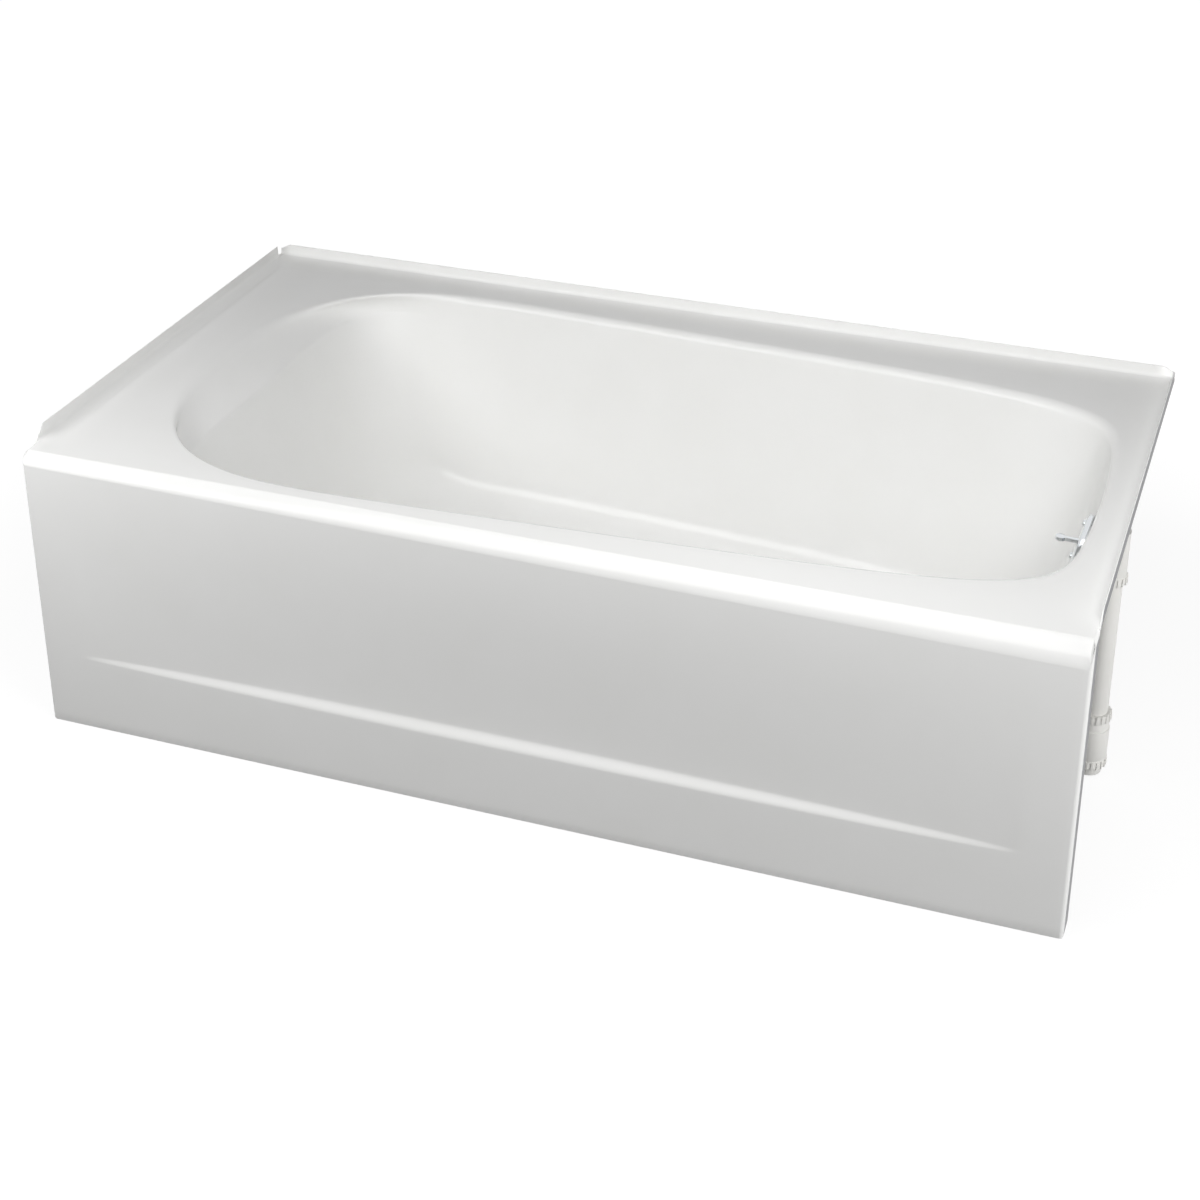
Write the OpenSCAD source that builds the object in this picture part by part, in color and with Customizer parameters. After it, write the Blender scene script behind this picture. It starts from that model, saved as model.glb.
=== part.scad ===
// Recess bath with an enamelled steel shell, a rolled apron, a moulded backing and a
// trip-lever pop-up waste. The origin is on the floor at the middle of the footprint,
// +X runs to the drain end, +Y to the back wall and +Z up.

/* [Bath] */
// Length from end to end
bath_l = 1524; // [1450:1:1650]
// Width from the apron's face to the back
bath_w = 813; // [780:1:900]
// Height of the deck above the floor
deck_h = 451; // [425:1:490]
// Thickness of the enamelled steel sheet
sheet_t = 2; // [1.6:0.1:2.8]
// Thickness of the composite layer under the well
backing_t = 6; // [4.5:0.1:7]

/* [Tiling flange] */
// Rise of the flange above the deck
flange_rise = 22; // [16:0.5:30]
// Where the end flanges leave the deck, behind the apron's face
flange_start = 38; // [34:0.5:50]
// Length of the slanted front end of an end flange
flange_slant = 21; // [12:0.5:30]
// Gap between an end flange and the back of the bath
flange_gap = 17; // [12:0.5:25]
// Width of the bevel at each end of the back flange
bevel_w = 17; // [10:0.5:25]
// Height of that bevel
bevel_h = 9; // [5:0.5:14]
// Rise of the deck where it meets a flange
ramp_rise = 4; // [2:0.5:6]
// Width of that slope at the two ends
ramp_end_w = 24; // [18:0.5:32]
// Width of that slope along the back
ramp_back_w = 50; // [35:0.5:54]

/* [Well] */
// Narrowest deck at the front
rim_front = 36.5; // [34:0.5:50]
// Narrowest deck at the back
rim_back = 56.5; // [55:0.5:75]
// Deck at the head end
rim_head = 98; // [80:0.5:120]
// Deck at the drain end
rim_drain = 37; // [34:0.5:40]
// Distance from the head end to the widest place
widest_at = 430; // [380:1:520]
// Loss of half width between there and the drain end
well_taper = 58; // [30:1:80]
// Height of the well's floor at the drain
floor_h = 92; // [88:0.5:100]
// Fall of the floor from the head to the drain
floor_fall = 6; // [2:0.5:10]
// Radius of the lip along the sides
lip_r = 14; // [10:0.5:18]
// Lean of the side walls
side_draft = 8.5; // [5:0.5:12]
// Lean of the wall at the drain end
end_draft = 14; // [12:0.5:16]
// Radius between the side walls and the floor
floor_r = 80; // [60:1:95]
// Radius between the wall at the drain end and the floor
drain_floor_r = 45; // [36:1:52]
// Bow of the outline at the drain end
end_bow = 25; // [10:1:35]

/* [Headrest] */
// Radius of the soft lip at the head end
headrest_r = 60; // [40:1:80]
// Slope of the headrest
headrest_slope = 28; // [22:0.5:35]
// Depth of the fold below the deck
headrest_drop = 36; // [28:0.5:45]
// Lean of the backrest below the fold
back_draft = 20; // [14:0.5:26]
// Radius between the backrest and the floor
back_floor_r = 110; // [80:1:130]

/* [Apron] */
// Reach of the front roll over the deck
roll_w = 18; // [14:0.5:22]
// Drop of the front roll at the head end
roll_drop_head = 17; // [12:0.5:25]
// Drop of the front roll at the drain end
roll_drop_drain = 36; // [20:0.5:45]
// Radius of the apron's upright corners
corner_r = 6; // [4:0.5:9]
// Width of the deck's rounded edge at each end
end_roll = 5; // [4:0.25:7]
// Height of the middle of the ledge
ledge_z = 125; // [110:1:150]
// Height of the ledge at its middle
ledge_rise = 24; // [16:0.5:30]
// Depth of the ledge at its middle
ledge_depth = 8; // [4:0.5:10]
// Distance from each end of the bath to the ledge
ledge_inset = 70; // [50:1:120]
// Reach of the flange turned in at the apron's foot
foot_flange = 30; // [22:1:40]

/* [Supports] */
// Distance from the head end to the head support
support_head_at = 420; // [400:1:480]
// Distance from the drain end to the drain support
support_drain_at = 350; // [300:1:420]
// Length of a support along the bath
support_l = 90; // [70:1:110]
// Width of the head support
support_head_w = 400; // [340:1:420]
// Width of the drain support
support_drain_w = 320; // [280:1:330]
// Diameter of a foot pad
pad_d = 56; // [44:1:64]
// Thickness of a foot pad
pad_t = 6; // [4:0.5:9]

/* [Waste] */
// Distance from the drain end to the drain's centre
drain_at = 226; // [222:0.5:240]
// Distance from the drain end to the upright tube's centre
tube_at = 27; // [26.5:0.1:28]
// Outside diameter of the waste tubes
tube_d = 38.1; // [37:0.1:39]
// Wall of the waste tubes
tube_t = 1.5; // [1:0.1:2]
// Height of the level waste tube's centre
waste_z = 54; // [52:0.5:56]
// Diameter of the hole for the drain
drain_hole_d = 52; // [50:0.5:54]
// Diameter of the drain's flange
strainer_d = 72; // [68:0.5:76]
// Outside diameter of the drain's neck
neck_d = 47; // [45:0.5:48]
// Wall of the drain's neck
neck_t = 2.5; // [1.5:0.1:3]
// Depth of the recess for the drain's flange
recess_depth = 3; // [2:0.25:4]

/* [Overflow] */
// Depth of the overflow's centre below the deck
overflow_drop = 76; // [72:0.5:80]
// Diameter of the overflow hole
overflow_hole_d = 62; // [60:0.5:64]
// Diameter of the faceplate
plate_d = 80; // [76:0.5:86]
// Height of the faceplate's crown
plate_h = 9; // [7.5:0.25:11]
// Spacing of the two faceplate screws
screw_gap = 56; // [54:0.5:57]
// Diameter of the faceplate screws
screw_d = 4.8; // [4:0.1:5]
// Thickness of the foam gasket when clamped
foam_t = 5; // [4:0.25:6]

/* [Trip lever] */
// Turn of the lever between closed and open
lever_turn = 22; // [16:0.5:24]
// Reach of the handle from its pivot
handle_l = 36; // [28:0.5:44]
// Diameter of the pivot pin and the yoke pin
pin_d = 3.2; // [2.6:0.1:3.6]
// Diameter of the linkage rod
rod_d = 4.8; // [4:0.1:5.6]
// Diameter of the striker spring
spring_d = 14; // [12:0.5:18]
// Length of the striker spring
spring_l = 50; // [40:1:60]
// Distance from the rocker's heel to the stopper's stem
rocker_near = 74; // [66:0.5:80]
// Diameter of the rocker's wire
rocker_d = 5; // [4:0.1:5.6]
// Diameter of the stopper's stem
stem_d = 6; // [5:0.1:7]
// Diameter of the stopper's cap
cap_d = 44; // [40:0.5:48]

/* [Hidden] */

// Number of sides of round pieces
$fn = 48;
// Clearance of a pin or stem in its running bore
run_gap = 0.08;
// Clearance between moving pieces that pass each other
free_gap = 0.4;
// Play between two pieces that push on each other
push_gap = 0.3;
// Depth by which a cut runs past a face
past = 1;

// Ends, sides and middle of the well
x_head = -bath_l / 2;
x_drain = bath_l / 2;
y_front = -bath_w / 2;
y_back = bath_w / 2;
flange_top = deck_h + flange_rise;
depth = deck_h - floor_h;
half_w = (bath_w - rim_front - rim_back) / 2;
well_y = (rim_front - rim_back) / 2;
x_wide = x_head + widest_at;
ext_head = widest_at - rim_head;
ext_drain = bath_l - widest_at - rim_drain;
wall_t = sheet_t + backing_t;

// Places of the waste
drain_x = x_drain - drain_at;
tube_x = x_drain - tube_at;
tube_r = tube_d / 2;
bore_r = tube_r - tube_t;

// The overflow's centre lies on the drain-end wall, square to a wall that leans
overflow_z = deck_h - overflow_drop;
overflow_x = x_drain - rim_drain - drain_in(overflow_drop);

// Stations around the well, more of them near the corners
long_steps = 30;
short_steps = 16;
// Share of the spacing that is drawn towards the corners
bunching = 0.6;

function spaced(i, n) = -bunching * cos(180 * i / n) + (1 - bunching) * (2 * i / n - 1);

// Along the bath the widest place is at 0, the head at -1 and the drain at 1
wide_share = 2 * widest_at / bath_l - 1;

function along(m) = m < wide_share
    ? (m - wide_share) / (1 + wide_share)
    : (m - wide_share) / (1 - wide_share);

stations = concat(
    [for (i = [0 : long_steps - 1]) [along(spaced(i, long_steps)), -1]],
    [for (i = [0 : short_steps - 1]) [1, spaced(i, short_steps)]],
    [for (i = [0 : long_steps - 1]) [along(-spaced(i, long_steps)), 1]],
    [for (i = [0 : short_steps - 1]) [-1, -spaced(i, short_steps)]]);
count = len(stations);

// Distance in from the rim of a wall with a lip, a lean and a radius at the floor
function wall_in(drop, lip, lean, foot) =
    let (lip_end = lip * (1 - sin(lean)),
        foot_start = depth - foot * (1 - sin(lean)),
        foot_in = lip * cos(lean) + (foot_start - lip_end) * tan(lean) + foot * cos(lean))
    drop <= lip_end ? sqrt(max(0, lip * lip - pow(lip - drop, 2)))
    : drop <= foot_start ? lip * cos(lean) + (drop - lip_end) * tan(lean)
    : foot_in - sqrt(max(0, foot * foot - pow(drop - depth + foot, 2)));

function side_in(drop) = wall_in(drop, lip_r, side_draft, floor_r);
function drain_in(drop) = wall_in(drop, lip_r, end_draft, drain_floor_r);

// The head end has a soft lip, a shallow headrest, a fold and then the backrest
function head_in(drop) =
    let (lip_end = headrest_r * (1 - cos(headrest_slope)),
        lip_w = headrest_r * sin(headrest_slope),
        fold_in = lip_w + (headrest_drop - lip_end) / tan(headrest_slope),
        foot_start = depth - back_floor_r * (1 - sin(back_draft)),
        foot_in = fold_in + (foot_start - headrest_drop) * tan(back_draft)
            + back_floor_r * cos(back_draft))
    drop <= lip_end ? sqrt(max(0, headrest_r * headrest_r - pow(headrest_r - drop, 2)))
    : drop <= headrest_drop ? lip_w + (drop - lip_end) / tan(headrest_slope)
    : drop <= foot_start ? fold_in + (drop - headrest_drop) * tan(back_draft)
    : foot_in - sqrt(max(0, pow(back_floor_r, 2) - pow(drop - depth + back_floor_r, 2)));

// Squareness of the corners: soft at the rim's head, squarer at the fold, tight at the drain
head_soft = 2.5;
head_fold = 5;
head_floor = 3.2;
drain_rim = 8;
drain_floor = 5;

function squareness(head, drop) = head
    ? (drop < headrest_drop
        ? head_soft + (head_fold - head_soft) * drop / headrest_drop
        : head_fold + (head_floor - head_fold) * (drop - headrest_drop) / (depth - headrest_drop))
    : drain_rim + (drain_floor - drain_rim) * drop / depth;

// Share of the taper that a place along the well has
taper_start = 0.1;

function taper_at(u) = u <= 0 ? 0 : (1 + taper_start) * u * u / (u + taper_start);

// Height of the floor above the drain, which rises with the distance from it
fall_run = drain_x - x_head - rim_head;

function fall_at(x, y) = floor_fall * min(1, norm([x - drain_x, y - well_y]) / fall_run);

// One point of the well's surface
function well_point(f, drop) =
    let (n = squareness(f[0] < 0, drop),
        q = pow(pow(abs(f[0]), n) + pow(abs(f[1]), n), -1 / n),
        u = f[0] * q,
        v = f[1] * q,
        x = u < 0
            ? x_wide + u * (ext_head - head_in(drop))
            : x_wide + u * (ext_drain - drain_in(drop))
                - end_bow * (1 - drop / depth / 2) * v * v * pow(u, 4),
        y = well_y + v * (half_w - side_in(drop) - well_taper * taper_at(u)))
    [x, y, deck_h - drop * (depth - fall_at(x, y)) / depth];

// Depths of the rings, from the rim round the lip, down the wall and round to the floor
lip_end = lip_r * (1 - sin(side_draft));
foot_start = depth - floor_r * (1 - sin(side_draft));
drops = concat(
    [for (a = [0, 22, 43, 63]) lip_r * (1 - cos(a))],
    [lip_end, (lip_end + headrest_drop) / 2, headrest_drop],
    [for (s = [0.3, 0.65, 1]) headrest_drop + (foot_start - headrest_drop) * s],
    [for (a = [26, 40, 52, 64, 77, 90]) depth - floor_r * (1 - sin(a))]);

// A rectangle round the deck, drawn in from the bath's edge by a width for each side
function border_point(f, ends, front, back, rise) =
    let (x = f[0] < 0
            ? x_wide + f[0] * (x_wide - x_head - ends)
            : x_wide + f[0] * (x_drain - ends - x_wide),
        y_low = y_front + front,
        y_high = y_back - back,
        y = (y_low + y_high) / 2 + f[1] * (y_high - y_low) / 2,
        share = min(1, max(0, (y - y_front - roll_w) / (flange_start + flange_slant - roll_w))))
    [x, y, deck_h + rise * share];

// The slope to the flange ends just behind the front roll
ramp_front = roll_w + 3;
top_rings = concat(
    [[for (f = stations) border_point(f, end_roll, roll_w, end_roll, ramp_rise)]],
    [[for (f = stations) border_point(f, ramp_end_w, ramp_front, ramp_back_w, 0)]],
    [for (d = drops) [for (f = stations) well_point(f, d)]]);
flat_rings = 3;
last_ring = len(top_rings) - 1;
drain_point = [drain_x, well_y, floor_h];

function unit(v) = v / norm(v);

function ring_normal(rings, k, i) =
    let (round = rings[k][(i + 1) % count] - rings[k][(i + count - 1) % count],
        down = rings[min(k + 1, len(rings) - 1)][i] - rings[max(k - 1, 0)][i])
    k < flat_rings ? [0, 0, 1] : unit(cross(round, down));

// The well's surface moved outwards by a thickness
function offset_rings(t) =
    [for (k = [0 : last_ring])
        [for (i = [0 : count - 1])
            top_rings[k][i] - t * (k == last_ring ? [0, 0, 1] : ring_normal(top_rings, k, i))]];

// Faces of a skin between two stacks of rings, and of its outer edge
function skin_faces(n) = concat(
    [for (k = [0 : n - 2]) for (i = [0 : count - 1])
        let (j = (i + 1) % count, a = k * count, b = a + count)
        each [[a + i, b + i, b + j], [a + i, b + j, a + j]]],
    [for (k = [0 : n - 2]) for (i = [0 : count - 1])
        let (j = (i + 1) % count, a = (n + k) * count, b = a + count)
        each [[a + i, b + j, b + i], [a + i, a + j, b + j]]],
    [for (i = [0 : count - 1])
        let (j = (i + 1) % count, b = n * count)
        each [[i, j, b + j], [i, b + j, b + i]]]);

// A skin that is open in the middle
module band(upper, lower) {
    n = len(upper);
    faces = concat(
        skin_faces(n),
        [for (i = [0 : count - 1])
            let (j = (i + 1) % count, a = (n - 1) * count, b = (2 * n - 1) * count)
            each [[a + i, b + j, a + j], [a + i, b + i, b + j]]]);
    polyhedron(points = concat([for (r = upper) each r], [for (r = lower) each r]), faces = faces);
}

// A skin that is closed at the floor by a fan above and below
module skin(upper, lower, upper_end, lower_end) {
    n = len(upper);
    points = concat([for (r = upper) each r], [for (r = lower) each r], [upper_end, lower_end]);
    end_a = 2 * n * count;
    end_b = end_a + 1;
    faces = concat(
        skin_faces(n),
        [for (i = [0 : count - 1])
            let (j = (i + 1) % count, a = (n - 1) * count)
            [a + i, end_a, a + j]],
        [for (i = [0 : count - 1])
            let (j = (i + 1) % count, a = (2 * n - 1) * count)
            [a + i, a + j, end_b]]);
    polyhedron(points = points, faces = faces);
}

// Frame of the overflow: +Z out through the wall, +X down along it
module at_overflow() {
    translate([overflow_x, well_y, overflow_z]) rotate([0, 90 + end_draft, 0]) children();
}

// A thin plate whose outline is drawn on the X-Z plane, from y upwards
module upright_xz(y, t) {
    translate([0, y + t, 0]) rotate([90, 0, 0]) linear_extrude(t) children();
}

// A thin plate whose outline is drawn on the Y-Z plane, from x upwards
module upright_yz(x, t) {
    translate([x, 0, 0]) rotate([90, 0, 90]) linear_extrude(t) children();
}

// The flanges stand on the edge of the deck and start at its underside
foot_z = deck_h - sheet_t;
foot_top = deck_h + ramp_rise;

// A flange at one end has a slanted front and stops short of the back flange above the deck
module end_flange(side) {
    edge = side * bath_l / 2;
    start = y_front + flange_start;
    end = y_back - flange_gap;
    upright_yz(min(edge, edge - side * sheet_t), sheet_t)
        polygon([[start, foot_z], [start, deck_h], [start + flange_slant, flange_top],
            [end, flange_top], [end, foot_top], [y_back - sheet_t, foot_top],
            [y_back - sheet_t, foot_z]]);
}

module tiling_flange_head() {
    color("white") end_flange(-1);
}

module tiling_flange_drain() {
    color("white") end_flange(1);
}

// The back flange runs from end to end and is bevelled at both
module tiling_flange_back() {
    color("white")
    upright_xz(y_back - sheet_t, sheet_t)
        polygon([[x_head, foot_z],
            [x_head, flange_top - bevel_h],
            [x_head + bevel_w, flange_top],
            [x_drain - bevel_w, flange_top],
            [x_drain, flange_top - bevel_h],
            [x_drain, foot_z]]);
}

// The deck's thickened edge inside a flange, which laps over the deck's sheet
edge_lap = 1;
edge_w = end_roll + edge_lap - sheet_t;

module deck_end_edge(side) {
    near = side * (bath_l / 2 - sheet_t);
    start = y_front + flange_start;
    upright_yz(min(near, near - side * edge_w), edge_w)
        polygon([[start, foot_z], [start, deck_h], [start + flange_slant, foot_top],
            [y_back - sheet_t, foot_top], [y_back - sheet_t, foot_z]]);
}

// The deck reaches from the front roll and the flanges to the rim of the well
module bath_deck() {
    lower = offset_rings(sheet_t);
    levels = [0 : flat_rings - 1];
    color("white") {
        band([for (k = levels) top_rings[k]], [for (k = levels) lower[k]]);
        for (side = [-1, 1]) deck_end_edge(side);
        translate([x_head + sheet_t, y_back - sheet_t - edge_w, foot_z])
            cube([bath_l - 2 * sheet_t, edge_w, foot_top - foot_z]);
    }
}

// Underside of the recess for the drain's flange
recess_z = floor_h - recess_depth;
recess_wall = 6;

// The well starts at its rim, where the lip begins
rim_ring = flat_rings - 1;
well_levels = [rim_ring : last_ring];

module bath_well() {
    lower = offset_rings(sheet_t);
    color("white")
    difference() {
        union() {
            skin([for (k = well_levels) top_rings[k]], [for (k = well_levels) lower[k]],
                drain_point, drain_point - [0, 0, sheet_t]);
            translate([drain_x, well_y, recess_z - sheet_t])
                cylinder(h = recess_depth + sheet_t / 2, d = strainer_d + 2 * recess_wall);
        }
        translate([drain_x, well_y, recess_z]) cylinder(h = recess_depth + past, d = strainer_d + 2);
        translate([drain_x, well_y, recess_z - sheet_t - past])
            cylinder(h = sheet_t + 2 * past, d = drain_hole_d);
        at_overflow() translate([0, 0, -wall_t]) cylinder(h = 3 * wall_t, d = overflow_hole_d);
    }
}

// The backing covers the whole well and carries a flat boss for the drain's gasket
boss_z = floor_h - wall_t - recess_depth;
boss_d = strainer_d + 16;

module composite_backing() {
    inner = offset_rings(sheet_t);
    outer = offset_rings(wall_t);
    color("dimgray")
    difference() {
        union() {
            skin([for (k = well_levels) inner[k]], [for (k = well_levels) outer[k]],
                drain_point - [0, 0, sheet_t], drain_point - [0, 0, wall_t]);
            translate([drain_x, well_y, boss_z])
                cylinder(h = recess_depth + backing_t / 2, d = boss_d);
        }
        translate([drain_x, well_y, recess_z - sheet_t])
            cylinder(h = wall_t, d = strainer_d + 2 * recess_wall);
        translate([drain_x, well_y, boss_z - past]) cylinder(h = wall_t, d = drain_hole_d);
        at_overflow() translate([0, 0, -wall_t]) cylinder(h = 3 * wall_t, d = overflow_hole_d);
    }
}

// Places along the apron's face from the head to the drain, and round each corner
apron_steps = 36;
corner_steps = 4;
seam_chamfer = 0.4;

// A station is its foot on the face, its seam on the deck and the drop of the roll there
function apron_front(i) =
    let (x = x_head + roll_w + (bath_l - 2 * roll_w) * i / apron_steps)
    [[x, y_front], [x, y_front + roll_w],
        roll_drop_head + (roll_drop_drain - roll_drop_head) * i / apron_steps];

function apron_corner(i, side) =
    let (s = i / corner_steps,
        a = 90 * s,
        drop = side < 0 ? roll_drop_head : roll_drop_drain,
        edge = side < 0 ? x_head : x_drain)
    [[edge - side * corner_r * (1 - cos(a)), y_front + corner_r * (1 - sin(a))],
        [edge - side * (end_roll + seam_chamfer * s), y_front + roll_w + seam_chamfer * (1 - s)],
        end_roll + (drop - end_roll) * s];

function apron_return(side) =
    let (edge = side < 0 ? x_head : x_drain)
    [for (y = [flange_start, (flange_start + roll_w) / 2, roll_w + 2 * seam_chamfer])
        [[edge, y_front + y], [edge - side * end_roll, y_front + y], end_roll]];

apron_line = concat(
    apron_return(-1),
    [for (i = [0 : corner_steps]) apron_corner(i, -1)],
    [for (i = [0 : apron_steps]) apron_front(i)],
    [for (i = [corner_steps : -1 : 0]) apron_corner(i, 1)],
    [for (i = [2 : -1 : 0]) apron_return(1)[i]]);

// The ledge swells from nothing near the ends to its full size at the middle
function swell(x) =
    let (half = bath_l / 2 - ledge_inset, u = min(1, abs(x) / half))
    pow(1 - u * u, 0.7);

// Height of the ledge at a place, which narrows less than its depth does
function ledge_height(x) = ledge_rise * (0.35 + 0.65 * swell(x));

function smooth(u) = let (s = min(1, max(0, u))) s * s * (3 - 2 * s);

// How far the face lies behind the apron's plane
function face_in(x, z) =
    let (h = ledge_height(x),
        ledge = smooth((z - ledge_z + h / 2) / h),
        fade = 1 - smooth((z - ledge_z - h / 2) / (deck_h - roll_drop_drain - ledge_z - h / 2)))
    ledge_depth * swell(x) * ledge * fade;

// Heights of the face's rows, with some on the ledge
function face_rows(x, drop) =
    let (h = ledge_height(x), high = ledge_z + h / 2, low = ledge_z - h / 2, top = deck_h - drop)
    concat(
        [for (s = [0.25, 0.5, 0.75]) top + (high - top) * s],
        [for (s = [0, 0.25, 0.5, 0.75, 1]) high + (low - high) * s],
        [low / 2, 0]);

roll_angles = [0, 22, 45, 68, 90];

// Outline of the sheet at one station, outside first and then back up the inside
function apron_section(st) =
    let (foot = st[0], seam = st[1], drop = st[2],
        inward = unit(seam - foot),
        rows = face_rows(foot[0], drop),
        flat = foot[1] < y_front + 0.001,
        outer = concat(
            [for (a = roll_angles) let (p = seam + (foot - seam) * sin(a))
                [p[0], p[1], deck_h - drop * (1 - cos(a))]],
            [for (z = rows) let (d = flat ? face_in(foot[0], z) : 0)
                [foot[0], foot[1] + d, z]]),
        far = len(outer) - 1,
        turned = foot + inward * (flat ? foot_flange : 2 * sheet_t),
        inner = [for (i = [far : -1 : 0])
            let (a = i < len(roll_angles) ? roll_angles[i] : 90)
            [outer[i][0] + inward[0] * sheet_t * sin(a),
                outer[i][1] + inward[1] * sheet_t * sin(a),
                i == far ? sheet_t : outer[i][2] - sheet_t * cos(a)]])
    concat(outer, [[turned[0], turned[1], 0], [turned[0], turned[1], sheet_t]], inner);

module apron() {
    sections = [for (st = apron_line) apron_section(st)];
    n = len(sections);
    m = len(sections[0]);
    faces = concat(
        [for (k = [0 : n - 2]) for (i = [0 : m - 1])
            let (j = (i + 1) % m, a = k * m, b = a + m)
            each [[a + i, b + i, b + j], [a + i, b + j, a + j]]],
        [[for (i = [0 : m - 1]) i]],
        [[for (i = [m - 1 : -1 : 0]) (n - 1) * m + i]]);
    color("whitesmoke")
    difference() {
        polyhedron(points = [for (s = sections) each s], faces = faces);
        for (x = [support_head_x, support_drain_x]) translate([x, apron_screw_y, -past])
            cylinder(h = sheet_t + 2 * past, d = brace_screw_d);
    }
}

// A folded channel behind the apron under its ledge
stiffener_h = 60;
stiffener_depth = 22;
stiffener_lip = 14;
stiffener_z = ledge_z - ledge_rise / 2 - stiffener_h - 23;

module apron_stiffener() {
    face = y_front + sheet_t;
    back = face + stiffener_depth;
    low = stiffener_z;
    high = low + stiffener_h;
    web_low = low + stiffener_lip;
    web_high = high - stiffener_lip;
    color("darkgray")
    translate([x_head + ledge_inset, 0, 0])
    rotate([90, 0, 90])
    linear_extrude(bath_l - 2 * ledge_inset)
        polygon([[face, low], [face + sheet_t, low], [face + sheet_t, web_low],
            [back, web_low], [back, web_high], [face + sheet_t, web_high],
            [face + sheet_t, high], [face, high], [face, web_high - sheet_t],
            [back - sheet_t, web_high - sheet_t], [back - sheet_t, web_low + sheet_t],
            [face, web_low + sheet_t]]);
}

// Places of the two supports under the floor
support_head_x = x_head + support_head_at;
support_drain_x = x_drain - support_drain_at;
leg_share = 0.22;
arch_rise = 30;
arch_round = 12;

// Screws at the feet of the braces
screw_l = 14;
brace_screw_d = 5;
brace_t = 3;
tab_h = 44;
tab_screw_z = sheet_t + tab_h - 10;
apron_screw_y = y_front + foot_flange - 8;

// Underside of the backing at a place on the middle line
function under_floor(x) = floor_h + fall_at(x, well_y) - wall_t;

// A moulded beam with two arches, which stands on pads and is bonded to the backing
module floor_support(x, width) {
    leg = width * leg_share;
    gap = (width - 3 * leg) / 2;
    color("slategray")
    difference() {
        translate([x - support_l / 2, well_y - width / 2, pad_t])
            cube([support_l, width, under_floor(x + support_l / 2) - pad_t]);
        for (side = [-1, 1]) translate([x - support_l, well_y + side * (leg + gap) / 2, 0]) {
            translate([0, -gap / 2, 0]) cube([2 * support_l, gap, pad_t + arch_rise]);
            translate([0, 0, pad_t + arch_rise]) rotate([0, 90, 0])
                cylinder(h = 2 * support_l, r = arch_round);
        }
        translate([x, well_y - width / 2 - past, tab_screw_z]) rotate([-90, 0, 0])
            cylinder(h = screw_l + 2 * past, d = brace_screw_d);
    }
}

module floor_support_head() {
    floor_support(support_head_x, support_head_w);
}

module floor_support_drain() {
    floor_support(support_drain_x, support_drain_w);
}

// A round rubber pad under an outer leg of a support
module foot_pad(x, width, side) {
    color("dimgray")
    translate([x, well_y + side * width * (1 - leg_share) / 2, 0])
        cylinder(h = pad_t, d = pad_d);
}

module foot_pad_head_front() {
    foot_pad(support_head_x, support_head_w, -1);
}

module foot_pad_head_back() {
    foot_pad(support_head_x, support_head_w, 1);
}

module foot_pad_drain_front() {
    foot_pad(support_drain_x, support_drain_w, -1);
}

module foot_pad_drain_back() {
    foot_pad(support_drain_x, support_drain_w, 1);
}

// A steel strap from the apron's foot flange to a support, turned up where it meets it
brace_w = 32;
brace_lap = 16;

module apron_brace(x, width) {
    start = y_front + foot_flange - brace_lap;
    face = well_y - width / 2;
    color("silver")
    difference() {
        union() {
            translate([x - brace_w / 2, start, sheet_t])
                cube([brace_w, face - start, brace_t]);
            translate([x - brace_w / 2, face - brace_t, sheet_t])
                cube([brace_w, brace_t, tab_h]);
        }
        translate([x, apron_screw_y, 0])
            cylinder(h = sheet_t + brace_t + past, d = brace_screw_d);
        translate([x, face - brace_t - past, tab_screw_z]) rotate([-90, 0, 0])
            cylinder(h = brace_t + 2 * past, d = brace_screw_d);
    }
}

module apron_brace_head() {
    apron_brace(support_head_x, support_head_w);
}

module apron_brace_drain() {
    apron_brace(support_drain_x, support_drain_w);
}

// A pan-head screw along +Z with its head below the origin
module pan_screw(d, l) {
    head_h = 0.6 * d;
    translate([0, 0, -head_h]) cylinder(h = head_h, d = 2 * d);
    translate([0, 0, -head_h / 2]) cylinder(h = l + head_h / 2, d = d);
}

// One short screw holds each strap at the apron, and a longer one at the support
module brace_screws() {
    color("silver")
    for (s = [[support_head_x, support_head_w], [support_drain_x, support_drain_w]]) {
        translate([s[0], well_y - s[1] / 2 - brace_t, tab_screw_z]) rotate([-90, 0, 0])
            pan_screw(brace_screw_d, brace_t + screw_l);
        translate([s[0], apron_screw_y, sheet_t + brace_t]) rotate([180, 0, 0])
            pan_screw(brace_screw_d, brace_t + 0.9 * sheet_t);
    }
}

// Heights of the drain: its flange lies in the recess and its neck hangs below
strainer_t = 2.5;
strainer_top = recess_z + strainer_t;
neck_low = waste_z + 8;
neck_bore = neck_d - 2 * neck_t;
collar_h = 5;
hub_z = neck_low + 12;
hub_h = 7;
hub_d = stem_d + 6;
bar_w = 3;

// The seat is a cone under the stopper, and the seal stands just off it
seat_h = strainer_t + 3;
seat_d = cap_d + 1;
seal_t = 3;
cap_z = strainer_top + 0.5;

function seat_at(z) = seat_d - (seat_d - neck_bore) * (strainer_top - z) / seat_h;

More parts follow.
